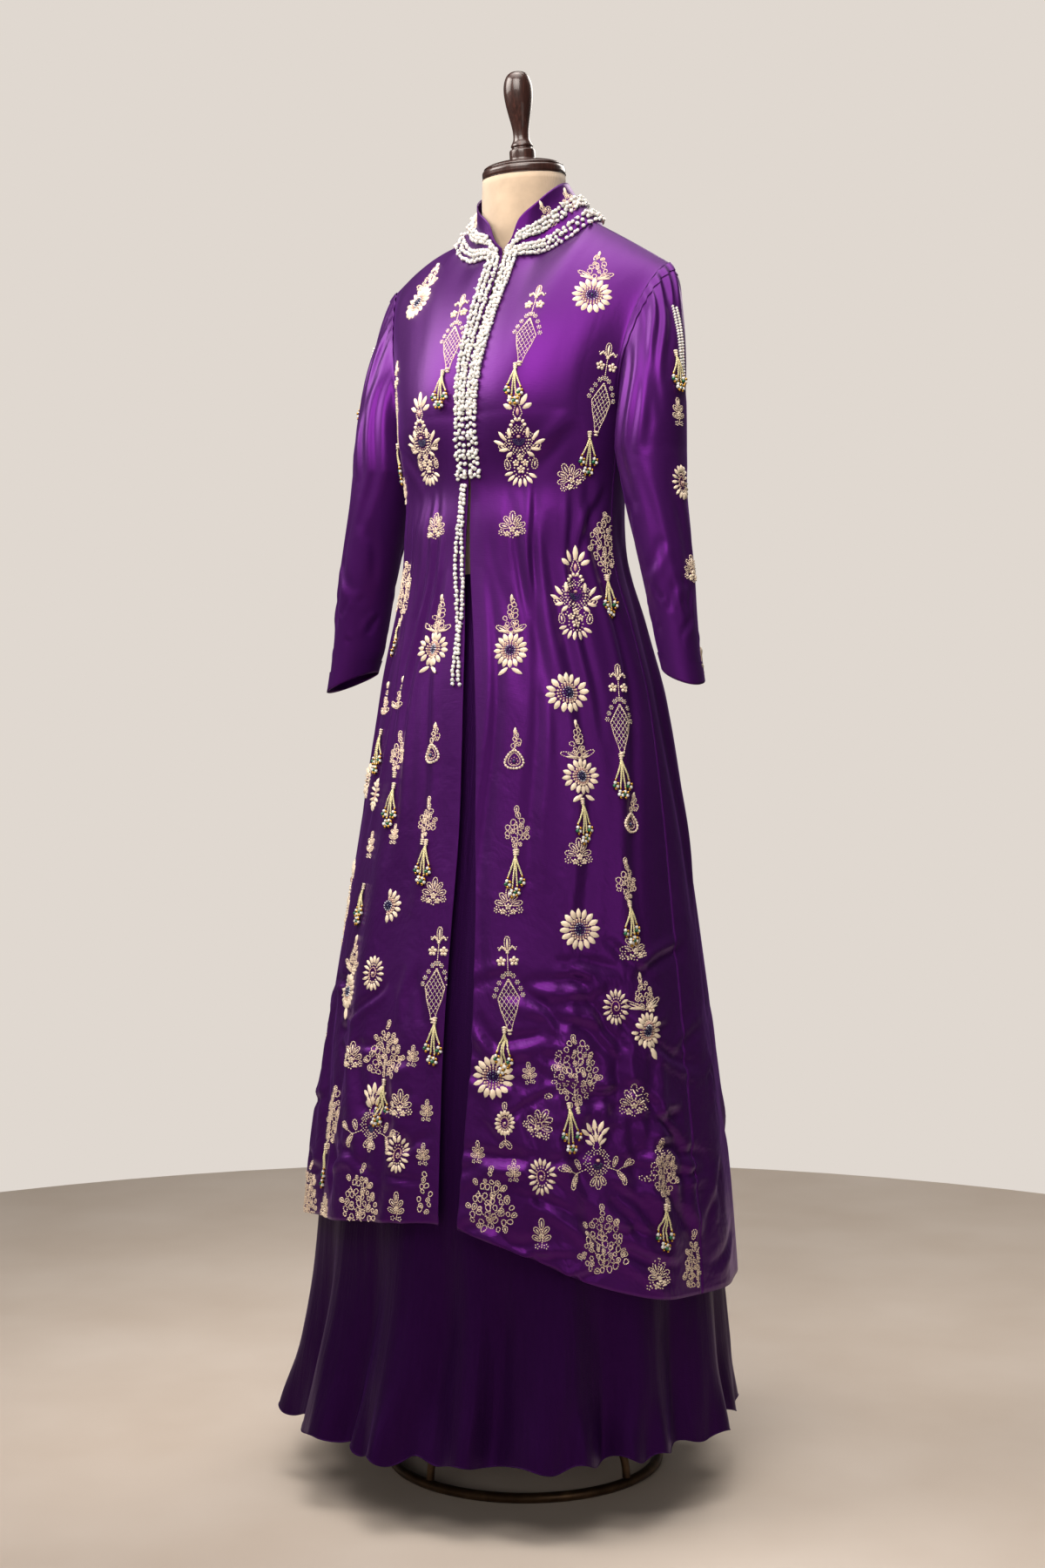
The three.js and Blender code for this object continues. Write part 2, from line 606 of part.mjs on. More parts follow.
function backGrid() {
  const columns = [...Array(BACK_COLUMNS + 1).keys()];
  const lowerCount = HEM_ROWS.length + LEVELS.length;
  const rows = [];
  for (let i = 0; i < lowerCount; i += 1) {
    rows.push(columns.map((column) => {
      const z = rowHeights(backAngle(column, LEVELS[Math.max(0, i - HEM_ROWS.length)]))[i];
      return jacketPoint(backAngle(column, z), z);
    }));
  }
  for (const t of YOKE_STEPS) {
    rows.push(columns.map((column) => {
      const low = rows[lowerCount - 1][column];
      const top = backTop(column);
      const side = column <= BACK_COLUMNS / 2 ? 1 : -1;
      const rise = (top.z - low.z) / 3;
      const middle = 1 - Math.abs(column / BACK_COLUMNS - 0.5) * 2;
      const lead = low.clone().add(new THREE.Vector3(0, 8 + 10 * middle, rise));
      const over = new THREE.Vector3(top.x + 3 * side, 62 + 24 * ease(0.5, 1, middle),
        top.z - rise * (0.4 + 0.5 * middle));
      if (column === 0 || column === BACK_COLUMNS) {
        lead.copy(vector(ARMHOLE_BACK.low, side));
        over.copy(vector(ARMHOLE_BACK.high, side));
      }
      return bezier(low, lead, over, top, t);
    }));
  }
  return rows;
}

const grids = { left: frontGrid(1), right: frontGrid(-1), back: backGrid() };
const topRow = grids.left.length - 1;
const underarmRow = HEM_ROWS.length + LEVELS.length - 1;

// Along a side seam both panels face the way that the whole section does there.
function sideFacing(side, point) {
  const across = jacketPoint(side * SIDE_SEAM_ANGLE + 1, point.z)
    .sub(jacketPoint(side * SIDE_SEAM_ANGLE - 1, point.z));
  const rise = jacketPoint(side * SIDE_SEAM_ANGLE, point.z + 5)
    .sub(jacketPoint(side * SIDE_SEAM_ANGLE, point.z - 5));
  return across.cross(rise).normalize();
}

const frontSeam = (side, grid) => (i, j) => {
  if (i === topRow && j >= NECK_COLUMNS) return shoulderFacing(side);
  return i <= underarmRow && j === frontColumns - 1 ? sideFacing(side, grid[i][j]) : null;
};
const backSeam = (i, j) => {
  const side = j < BACK_COLUMNS / 2 ? 1 : -1;
  const fromSeam = Math.min(j, BACK_COLUMNS - j);
  if (i === topRow && fromSeam <= BACK_SHOULDER_COLUMNS) return shoulderFacing(side);
  return i <= underarmRow && fromSeam === 0 ? sideFacing(side, grids.back[i][j]) : null;
};
// Raised beadwork: the outside of a front stands out where a motif lies, clear of the trim.
const motifRaise = (on) => (point, i, j) => {
  if (j < 4 || j === frontColumns - 1) return 0;
  const angle = THREE.MathUtils.radToDeg(Math.atan2(point.x, -point.y));
  const radius = Math.hypot(point.x, point.y);
  const covers = MOTIFS.filter((motif) => motif.on === on).map((motif) => Math.hypot(
    rad(turnBetween(motif.angle, angle)) * radius / motif.wide, (point.z - motif.z) / motif.tall));
  return RAISED_WORK * (1 - ease(0.8, 1.2, Math.min(...covers)));
};

const panels = {
  left: add('jacket_front_left', wall(grids.left, JACKET_WALL,
    { facing: 1, seam: frontSeam(1, grids.left), raise: motifRaise('left') }), SATIN),
  right: add('jacket_front_right', wall(grids.right, JACKET_WALL,
    { facing: -1, seam: frontSeam(-1, grids.right), raise: motifRaise('right') }), SATIN),
};
add('jacket_back', wall(grids.back, JACKET_WALL, { facing: 1, seam: backSeam }), SATIN);

// ---------------------------------------------------------------- sleeves
const HEAD_STEPS = [0.12, 0.28, 0.46, 0.64, 0.82];
const SLEEVE_WALL = 1.4;

// The armhole seam round a sleeve: the shoulder tip, down the front, the underarm, up the back.
// Each stop has its turn (0 at the tip, 90 in front), its place and the way that it faces.
function armhole(side) {
  const front = side > 0 ? grids.left : grids.right;
  const frontNormals = gridNormals(front, false, side);
  const backNormals = gridNormals(grids.back, false, 1);
  const backColumn = side > 0 ? 0 : BACK_COLUMNS;
  const stops = [];
  for (let i = topRow; i > underarmRow; i -= 1) {
    const turn = 180 * (1 - YOKE_STEPS[i - underarmRow - 1]);
    stops.push({ turn, point: front[i][frontColumns - 1], before: front[i][frontColumns - 2],
      normal: i === topRow ? shoulderFacing(side) : frontNormals[i][frontColumns - 1] });
  }
  stops.push({ turn: 180, point: front[underarmRow][frontColumns - 1], normal: null,
    before: front[underarmRow][frontColumns - 1].clone().sub(new THREE.Vector3(side, 0, 0)) });
  for (let i = underarmRow + 1; i < topRow; i += 1) {
    const turn = 180 * (1 + YOKE_STEPS[i - underarmRow - 1]);
    stops.push({ turn, point: grids.back[i][backColumn], normal: backNormals[i][backColumn],
      before: grids.back[i][backColumn + side] });
  }
  return stops;
}

// A point of a sleeve section, with the same turns as the armhole.
function sleevePoint(side, section, turn) {
  const out = section.out * Math.cos(rad(turn));
  const fore = -section.fore * Math.sin(rad(turn));
  const c = Math.cos(rad(section.turn));
  const s = Math.sin(rad(section.turn));
  const dip = section.z === SLEEVE_SECTIONS[SLEEVE_SECTIONS.length - 1].z
    ? CUFF_DIP * Math.cos(rad(turn - 60)) : 0;
  const x = section.x + out * c - fore * s;
  return new THREE.Vector3(side * x, section.y + out * s + fore * c, section.z - dip);
}

function sleeveGrid(side, stops) {
  const first = SLEEVE_SECTIONS[0];
  const starts = stops.map(({ point, before }) => point.clone()
    .addScaledVector(point.clone().sub(before).normalize(), 2.4 * SEAM_GAP));
  const head = HEAD_STEPS.map((t) => stops.map(({ turn }, column) => {
    const start = starts[column];
    const end = sleevePoint(side, first, turn);
    const drop = start.z - end.z;
    const lead = start.clone().add(new THREE.Vector3(side * 0.1 * drop, 0, -0.08 * drop));
    const over = end.clone().add(new THREE.Vector3(0, 0, 0.5 * drop));
    const point = bezier(start, lead, over, end, t);
    const gather = SLEEVE_HEAD_GATHER * bell(turnBetween(0, turn), 62) * bell(t - 0.2, 0.26);
    point.x += side * gather * (column % 2 ? 1 : -0.4);
    return point;
  }));
  const arm = SLEEVE_SECTIONS.map((section) => stops.map(
    ({ turn }) => sleevePoint(side, section, turn)));
  return [starts, ...head, ...arm];
}

const sleeves = {};
for (const [name, side] of [['sleeve_left', 1], ['sleeve_right', -1]]) {
  const stops = armhole(side);
  const seam = (i, j, own) => {
    if (i > 0 || !stops[j].normal) return null;
    const likePanel = 1 - ease(95, 165, Math.abs(turnBetween(0, stops[j].turn)));
    return own.clone().lerp(stops[j].normal, likePanel).normalize();
  };
  sleeves[name] = add(name,
    wall(sleeveGrid(side, stops), SLEEVE_WALL, { closed: true, facing: side, seam }), SATIN);
}

// ---------------------------------------------------------------- collar and pearl trim
const COLLAR_ROWS = [0, 0.16, 0.42, 0.6, 1];
const COLLAR_WALL = 1.4;
const TRIM_WALL = 5;
const TRIM_LIFT = 0.35;

// Grid of the collar from the wearer's left front end round the back to the right one, with
// the neckline's own columns.
function collarGrid() {
  const half = [...FRONT_NECK.map((_, column) => frontNeckAngle(column)), ...BACK_NECK.slice(1)];
  const angles = [...half, ...half.slice(0, -1).reverse().map((angle) => -angle)];
  return COLLAR_ROWS.map((t) => angles.map((signed) => {
    const low = neckPoint(NECKLINE, signed);
    const high = neckPoint(COLLAR_EDGE, signed);
    const lean = high.clone().sub(low).normalize();
    low.addScaledVector(lean, 3.1 * SEAM_GAP);
    const bow = 4 * Math.sin(Math.PI * t) * ease(20, 80, Math.abs(signed));
    const point = low.lerp(high, t);
    const flat = new THREE.Vector3(point.x, point.y, 0).normalize();
    return point.addScaledVector(flat, -bow);
  }));
}

const collar = collarGrid();
const collarNormals = gridNormals(collar, false, 1);
add('collar', wall(collar, COLLAR_WALL, { facing: 1 }), SATIN);

// Trim lying on a surface: the grid's own points between two columns or rows, moved out.
function trimOn(rows, normals, lift, thickness, facing) {
  const shifted = rows.map((row, i) => row.map(
    (point, j) => point.clone().addScaledVector(normals[i][j], lift + thickness)));
  return wall(shifted, thickness, { facing });
}

for (const [name, from] of [['pearl_row_lower', 0], ['pearl_row_upper', 2]]) {
  const rows = collar.slice(from, from + 2).map((row) => row.slice(1, -1));
  const normals = collarNormals.slice(from, from + 2).map((row) => row.slice(1, -1));
  add(name, trimOn(rows, normals, TRIM_LIFT, TRIM_WALL, 1), PEARL);
}

const bandStart = HEM_ROWS.length + LEVELS.indexOf(1227);
const strandsStart = HEM_ROWS.length + LEVELS.indexOf(975);
const bandsOf = [
  { name: 'pearl_band_left', grid: grids.left, facing: 1, from: bandStart, to: topRow, last: 3 },
  { name: 'pearl_band_right', grid: grids.right, facing: -1, from: bandStart, to: topRow, last: 3 },
  { name: 'pearl_strands_right', grid: grids.right, facing: -1, from: strandsStart,
    to: bandStart, last: 2 },
];
for (const { name, grid, facing, from, to, last } of bandsOf) {
  const normals = gridNormals(grid, false, facing);
  const pick = (rows) => rows.slice(from, to + 1).map((row) => row.slice(0, last));
  const end = to === topRow ? 0.7 : 0.99;
  const points = pick(grid).map((row, i, rows) => row.map((point, j) => (
    i < rows.length - 1 ? point : rows[i - 1][j].clone().lerp(point, end))));
  add(name, trimOn(points, pick(normals), TRIM_LIFT, TRIM_WALL, facing), PEARL);
}

// ---------------------------------------------------------------- skirt
const SKIRT_COLUMNS = 72;
const SKIRT_LEVELS = [SKIRT_TOP_Z, 1055, 900, 640, 430, 320, 230, 150];
const RUFFLE_LEVELS = [112, SKIRT_HEM_Z];

function skirtRing(z, columns, ruffle, inset) {
  return [...Array(columns).keys()].map((column) => {
    const angle = 360 * column / columns;
    const point = sectionPoint(SKIRT_SECTIONS, angle, z, skirtRelief(angle, z, ruffle) - inset);
    const wave = Math.sin(rad(angle) * RUFFLE_WAVES + 1.3 * Math.sin(rad(angle) * 5) + 1.2);
    point.z += ruffle * RUFFLE_LIFT * ease(0, 1, (150 - z) / 60) * wave;
    return point;
  });
}

add('skirt', flaredWall(SKIRT_LEVELS.map((z) => skirtRing(z, SKIRT_COLUMNS, 0, 0)),
  RUFFLE_LEVELS.map((z) => skirtRing(z, 2 * SKIRT_COLUMNS, 1, 0)), SKIRT_WALL), GEORGETTE);

// The lining hangs smooth behind the skirt's troughs, joined to it only at the waist seam.
const LINING_COLUMNS = 36;
const LINING_LEVELS = [SKIRT_TOP_Z, 1055, 900, 640, 430, 230, LINING_HEM_Z];

function liningRing(z) {
  const inset = SKIRT_WALL + SPACE + LINING_INSET * ease(0, 60, SKIRT_TOP_Z - z);
  return [...Array(LINING_COLUMNS).keys()].map((column) => sectionPoint(
    SKIRT_SECTIONS, 360 * column / LINING_COLUMNS, z, -inset));
}

add('skirt_lining', flaredWall(LINING_LEVELS.map(liningRing), [], SKIRT_WALL), LINING);

// ---------------------------------------------------------------- form, neck cap and stand
const FORM_COLUMNS = 24;
const neckTop = FORM_SECTIONS.length - 1;
const formRings = FORM_SECTIONS.map(({ z }, i) => [...Array(FORM_COLUMNS).keys()].map((column) => {
  const point = sectionPoint(FORM_SECTIONS, 360 * column / FORM_COLUMNS, z);
  if (i === neckTop) point.z += Math.tan(rad(NECK_LEAN)) * (point.y - CAP_CENTRE_Y);
  return point;
}));
add('form_torso', stack(formRings), LINEN);

// The neck cap is a low turned dome that leans forwards with the finial screwed into it.
const CAP_HEIGHT = 22;
const CAP_PROFILE = [[0, 0], [50, 0], [53, 3], [53, 9], [48, 15], [34, 20], [19, 22], [0, 22]];
const FINIAL_PROFILE = [
  [0, 0], [16.5, 0], [16.5, 13], [13, 15], [13.5, 19], [10.3, 27], [11, 38], [14.5, 58],
  [18, 78], [18.5, 88], [16, 100], [9.5, 108], [0, 110.5],
];

function turnedPiece(profile, segments, lift) {
  const points = profile.map(([radius, height]) => new THREE.Vector2(radius, height + lift));
  const geometry = new THREE.LatheGeometry(points, segments);
  geometry.rotateX(Math.PI / 2);
  return geometry;
}

const neckGroup = new THREE.Group();
neckGroup.position.set(0, CAP_CENTRE_Y, FORM_SECTIONS[neckTop].z);
neckGroup.rotation.x = rad(NECK_LEAN);
lehenga.add(neckGroup);
neckGroup.add(add('neck_cap', turnedPiece(CAP_PROFILE, 24, SPACE), WOOD));
neckGroup.add(add('finial', turnedPiece(FINIAL_PROFILE, 16, CAP_HEIGHT + 2 * SPACE), WOOD));

// The stand: a pole into the form's flat underside, a hub, four bent legs and a tube hoop.
const POLE_RADIUS = 14;
const HUB_RADIUS = 24;
const HUB_LOW = 52;
const HUB_HIGH = 92;
const HOOP_RADIUS = 169;
const TUBE = 6;
const LEG_RADIUS = 5;
const LEG_ANGLES = [-8, 82, 172, 262];

function upright(radius, low, high, segments) {
  const geometry = new THREE.CylinderGeometry(radius, radius, high - low, segments);
  geometry.rotateX(Math.PI / 2);
  geometry.translate(0, 0, (low + high) / 2);
  return geometry;
}

add('pole', upright(POLE_RADIUS, HUB_HIGH + SPACE, FORM_SECTIONS[0].z - SPACE, 16), BRONZE);
add('hub', upright(HUB_RADIUS, HUB_LOW, HUB_HIGH, 20), BRONZE);

// The hoop's tube has eight sides, one of them flat on the floor.
const hoopProfile = [...Array(9).keys()].map((k) => {
  const turn = rad(22.5 + 45 * k);
  const corner = TUBE / Math.cos(rad(22.5));
  return new THREE.Vector2(HOOP_RADIUS + corner * Math.cos(turn), TUBE + corner * Math.sin(turn));
});
const hoop = new THREE.LatheGeometry(hoopProfile, 32);
hoop.rotateX(Math.PI / 2);
add('base_hoop', hoop, BRONZE);

// A leg rises from the hoop's top in a bend and runs in to the hub.
function leg(angle) {
  const path = new THREE.CubicBezierCurve3(
    new THREE.Vector3(HOOP_RADIUS, 0, 2 * TUBE + SPACE),
    new THREE.Vector3(HOOP_RADIUS, 0, 70),
    new THREE.Vector3(HOOP_RADIUS - 60, 0, 72),
    new THREE.Vector3(HUB_RADIUS + SPACE, 0, 72),
  );
  const section = new THREE.Shape();
  section.absarc(0, 0, LEG_RADIUS, 0, 2 * Math.PI);
  const geometry = new THREE.ExtrudeGeometry(section, {
    steps: 7, curveSegments: 4, bevelEnabled: false, extrudePath: path });
  geometry.rotateZ(rad(angle - 90));
  return geometry;
}

LEG_ANGLES.forEach((angle, k) => add(`base_leg_${k + 1}`, leg(angle), BRONZE));

// ---------------------------------------------------------------- tassels
const TASSEL_HEAD = 4;
const TASSEL_STRAND = 1.3;
const TASSEL_BEAD = 3.6;
const TASSEL_STRANDS = 3;

// A closed geometry as a solid that can be joined to others.
function solid(geometry) {
  const bare = geometry.clone();
  bare.deleteAttribute('normal');
  bare.deleteAttribute('uv');
  const merged = mergeVertices(bare);
  return new wasm.Manifold(new wasm.Mesh({
    numProp: 3,
    vertProperties: merged.attributes.position.array,
    triVerts: Uint32Array.from(merged.index.array),
  }));
}

function joined(geometries) {
  const whole = geometries.map(solid).reduce((sum, piece) => sum.add(piece));
  const mesh = whole.getMesh();
  const geometry = new THREE.BufferGeometry();
  geometry.setAttribute('position', new THREE.Float32BufferAttribute(mesh.vertProperties, 3));
  geometry.setIndex([...mesh.triVerts]);
  return geometry;
}

// The outside of a piece of cloth where a level line at an angle meets it.
function onCloth(piece, from, height, angle) {
  const out = new THREE.Vector3(Math.sin(rad(angle)), -Math.cos(rad(angle)), 0);
  const start = from.clone().addScaledVector(out, 500).setZ(height);
  const ray = new THREE.Raycaster(start, out.clone().negate());
  const [hit] = ray.intersectObject(piece);
  return { point: hit.point, normal: hit.face.normal };
}

// A three-sided strand from its root to its beads, which swell out at its lower end.
function strand(start, end) {
  const length = start.distanceTo(end);
  const profile = [
    [0, 0], [TASSEL_STRAND, 0], [TASSEL_STRAND, length - 2 * TASSEL_BEAD],
    [TASSEL_BEAD, length - TASSEL_BEAD], [0, length + TASSEL_BEAD],
  ].map(([radius, height]) => new THREE.Vector2(radius, height));
  const geometry = new THREE.LatheGeometry(profile, 3);
  const lie = new THREE.Quaternion().setFromUnitVectors(
    new THREE.Vector3(0, 1, 0), end.clone().sub(start).normalize());
  geometry.applyQuaternion(lie);
  geometry.translate(start.x, start.y, start.z);
  return geometry;
}

// The knot that a tassel hangs from, one of its points towards the cloth.
function tasselHead(centre, normal) {
  const geometry = new THREE.OctahedronGeometry(TASSEL_HEAD);
  const up = new THREE.Vector3(0, 1, 0);
  geometry.applyQuaternion(new THREE.Quaternion().setFromUnitVectors(up, normal));
  geometry.translate(centre.x, centre.y, centre.z);
  return geometry;
}

// A tassel sewn to the cloth at an angle and height, its strands hanging down the cloth.
function tassel(piece, from, { angle, z, length }) {
  const seat = onCloth(piece, from, z, angle);
  const head = seat.point.clone().addScaledVector(seat.normal, TASSEL_HEAD + SPACE);
  const pieces = [tasselHead(head, seat.normal)];
  for (let k = 0; k < TASSEL_STRANDS; k += 1) {
    const aside = k - (TASSEL_STRANDS - 1) / 2;
    const drop = length * (1 - 0.12 * Math.abs(aside));
    const turn = angle + THREE.MathUtils.radToDeg(7 * aside / 250);
    const foot = onCloth(piece, from, z - drop, turn);
    const end = foot.point.clone().addScaledVector(foot.normal, TASSEL_BEAD + 2 * SPACE);
    pieces.push(strand(head, end));
  }
  return joined(pieces);
}

lehenga.updateMatrixWorld(true);
const POLE_AXIS = new THREE.Vector3();
const sleeveAxis = new THREE.Vector3(SLEEVE_SECTIONS[0].x - 30, -8, 0);
const mirrorOf = ({ angle }) => new THREE.Vector3(Math.sign(angle), 1, 1);
for (const [k, row] of TASSELS.entries()) {
  const piece = panels[row.on] ?? sleeves[row.on];
  const from = row.on in panels ? POLE_AXIS : sleeveAxis.clone().multiply(mirrorOf(row));
  add(`tassel_${k + 1}`, tassel(piece, from, row), CORD);
}

lehenga.position.y = POLE_Y;

export default lehenga;
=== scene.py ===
import json
import math
from functools import partial

import bpy
import numpy as np
from mathutils import Matrix, Vector
from mathutils.bvhtree import BVHTree


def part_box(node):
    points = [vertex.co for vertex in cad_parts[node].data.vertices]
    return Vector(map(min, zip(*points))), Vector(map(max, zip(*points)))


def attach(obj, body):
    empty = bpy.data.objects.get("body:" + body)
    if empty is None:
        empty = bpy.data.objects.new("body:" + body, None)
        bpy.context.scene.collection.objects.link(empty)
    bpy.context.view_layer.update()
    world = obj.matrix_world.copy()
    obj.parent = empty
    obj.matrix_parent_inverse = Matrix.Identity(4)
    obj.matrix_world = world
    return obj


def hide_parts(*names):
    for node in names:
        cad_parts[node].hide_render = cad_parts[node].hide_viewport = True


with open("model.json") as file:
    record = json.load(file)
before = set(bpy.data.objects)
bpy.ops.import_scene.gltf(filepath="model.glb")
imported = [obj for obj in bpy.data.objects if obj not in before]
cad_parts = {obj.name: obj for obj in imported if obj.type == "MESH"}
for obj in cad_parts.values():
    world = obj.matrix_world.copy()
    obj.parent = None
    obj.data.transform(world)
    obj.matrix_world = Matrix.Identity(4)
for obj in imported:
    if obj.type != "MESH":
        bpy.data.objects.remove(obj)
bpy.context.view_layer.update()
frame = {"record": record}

bl_info = {
    "name": "Jacket Lehenga on a Dress Form",
    "version": (1, 0, 0),
    "blender": (4, 5, 0),
    "location": "3D View > Sidebar > Lehenga",
    "description": "Builds a beaded satin jacket over a flared skirt on a dress form",
    "category": "Add Mesh",
}

# Sizes are in millimetres from the axis of the stand's pole, with +Z up, -Y to the front and +X
# to the wearer's left. Angles are in degrees round the pole, 0 in front, growing to +X.
POLE_LOW, POLE_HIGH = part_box("pole")
POLE_AXIS = np.array([POLE_LOW.x + POLE_HIGH.x, POLE_LOW.y + POLE_HIGH.y, 0.0]) * 500


def table(columns, *rows):
    """Rows of numbers as one array for each column name, sorted by the first column."""
    return dict(zip(columns.split(), np.array(sorted(rows), float).T))


# ------------------------------------------------------------------ the garment's cut
JACKET_SECTIONS = table(
    "z side front back centre",
    (1400, 165, 118, 90, -24), (1310, 163, 131, 85, -28), (1250, 157, 133, 81, -28),
    (1190, 152, 133, 85, -28), (1130, 153, 137, 94, -24), (1055, 170, 147, 114, -13),
    (968, 191, 163, 142, -6), (821, 214, 190, 170, -6), (726, 226, 210, 188, -8),
    (612, 240, 232, 204, -10), (487, 256, 252, 219, -14), (388, 267, 266, 228, -16),
    (300, 275, 275, 234, -18), (220, 281, 282, 240, -20))
OPENING = table(
    "z angle gap",
    (1520, 8, 3), (1450, 6, 3), (1330, 3.5, 3), (1227, 4, 4), (1130, 5, 9), (1030, 8.8, 14),
    (900, 12.6, 20), (788, 14.7, 24), (662, 15.8, 34), (549, 16.4, 39), (479, 16.4, 35),
    (330, 16.4, 25))
JACKET_HEM = table(
    "angle z",
    (-180, 262), (-120, 278), (-67, 306), (-49, 321), (-24, 335), (0, 346), (14, 349),
    (34, 326), (58, 279), (78, 257), (120, 251), (180, 262))
JACKET_FOLDS = table(
    "angle lean start depth width",
    (-160, 3, 1120, 10, 11), (-132, -4, 1000, 8, 9), (-106, 3, 1100, 9, 9),
    (-80, -3, 1150, 7, 8), (-52, 4, 1050, 8, 8), (-26, 5, 1180, 13, 7), (-2, 2, 900, 7, 6),
    (30, 2, 1180, 7, 8), (49, -3, 1000, 8, 8), (70, 3, 1120, 8, 8), (96, 4, 1150, 9, 9),
    (122, -3, 1060, 10, 10), (150, 3, 1140, 9, 10), (176, -2, 1090, 8, 9))
FOLD_TROUGH = 4
NECKLINE = table(
    "angle radius z",
    (0, 60, 1519), (25, 61, 1518), (54, 68, 1520), (75, 88, 1537), (90, 106, 1558),
    (115, 98, 1566), (145, 82, 1569), (180, 76, 1570))
COLLAR_EDGE = table(
    "angle radius z",
    (0, 61, 1525), (11, 62, 1538), (20, 62, 1561), (43, 62, 1582), (68, 61, 1602),
    (90, 59, 1614), (130, 55, 1621), (180, 53, 1624))
SLEEVE_SECTIONS = table(
    "z x y out fore turn",
    (1262, 205, -27, 41, 49, 0), (1205, 214, -31, 37, 45, 4), (1150, 225, -33, 34, 42, 10),
    (1105, 234, -34, 31, 40, 18), (1060, 241, -34, 28, 37, 26), (1020, 248, -35, 26, 35, 32),
    (990, 255, -36, 25, 34, 35))
SKIRT_SECTIONS = table(
    "z side front back centre",
    (1116, 133.9, 115.9, 76.9, -22), (1055, 152, 130, 98, -13), (968, 174, 146, 126, -6),
    (821, 198, 174, 154, -6), (612, 225, 216, 189, -10), (487, 241, 236, 204, -14),
    (350, 256, 253, 216, -18), (240, 264, 264, 224, -20), (150, 272, 286, 234, -24),
    (75, 283, 310, 246, -28))
SKIRT_FLUTES = table(
    "angle depth width",
    (-168, 11, 9), (-143, 8, 8), (-118, 12, 8), (-93, 8, 7), (-68, 10, 8), (-45, 9, 7),
    (-24, 12, 7), (2, 13, 7), (24, 8, 7), (46, 11, 8), (70, 8, 7), (94, 12, 8), (120, 9, 8),
    (145, 12, 9), (169, 8, 7))
FORM_SECTIONS = table(
    "z side front back centre",
    (930, 114, 88, 80, -2), (948, 143, 114, 104, -3), (1000, 146, 118, 98, -7),
    (1060, 136, 114, 82, -14), (1116, 129.3, 111.3, 72.3, -22), (1180, 130, 114, 68, -26),
    (1250, 139, 120, 66, -28), (1310, 147, 118, 69, -28), (1370, 151, 105, 68, -20),
    (1430, 152, 84, 64, -8), (1470, 150, 66, 52, 0), (1500, 134, 48, 40, 4),
    (1520, 88, 42, 40, 4), (1538, 68, 46, 45, 2), (1556, 58, 51, 50, 0), (1580, 55, 54, 51, -2),
    (1606, 54, 55, 51, -3), (1628, 53, 55, 51, -3))

UNDERARM_Z = 1310
SIDE_SEAM_ANGLE = 88
BAND_WIDTH = 24
SHOULDER_TIPS = {1: np.array([202.0, 20.0, 1498.0]), -1: np.array([-214.0, 8.0, 1512.0])}
ARMHOLE_FRONT = np.array([[167.0, -64.0, 1362.0], [192.0, -34.0, 1472.0]])
ARMHOLE_BACK = np.array([[169.0, 26.0, 1362.0], [192.0, 60.0, 1472.0]])
FRONT_SHARES = (0, 0.1, 0.18, 0.26, 0.34, 0.42, 0.5, 0.58, 0.66, 0.74, 0.83, 0.92, 1)
FRONT_NECK = (0, 12, 23, 36, 52, 70, 90)
SKIRT_TOP_Z = 1116
SKIRT_HEM_Z = 84
LINING_HEM_Z = 112
FLARE_START_Z = 420
FLARE_REACH = 330
SLEEVE_HEAD_Z = 1262
CUFF_Z = 990
JACKET_RADIUS = 210
MM_PER_DEGREE = 4.2
SLEEVE_RADIUS = 42
FORM_BASE_Z = 930
NECK_TOP_Z = 1628
NECK_LEAN = 7
CAP_CENTRE_Y = -2
TURNED_IN_ROWS = 7
FLOOR_RADIUS = 1950
BEAD_LIFT = 0.1

# Turned wood: radius and height of each step above the neck's top.
CAP_PROFILE = (
    (0.01, 0.4), (49, 0.4), (52, 1.4), (53, 3.5), (53.1, 6), (53, 8.6), (52, 10.6), (50, 12.2),
    (50.6, 13.2), (49.4, 14.6), (44, 17.2), (36, 19.4), (27, 21), (18, 22), (0.01, 22.2))
FINIAL_PROFILE = (
    (0.01, 22.8), (16, 22.8), (16.6, 24), (16.6, 32), (16.2, 35), (14.6, 36.2), (13.2, 37.4),
    (13.2, 39), (14.2, 40), (13.8, 42), (11.6, 46), (10.4, 50), (10.3, 56), (10.9, 62), (12.6, 71),
    (14.8, 81), (17, 92), (18.2, 101), (18.6, 108), (18.2, 115), (16.6, 122), (13.6, 128),
    (9.4, 131.6), (4.5, 133), (0.01, 133.3))

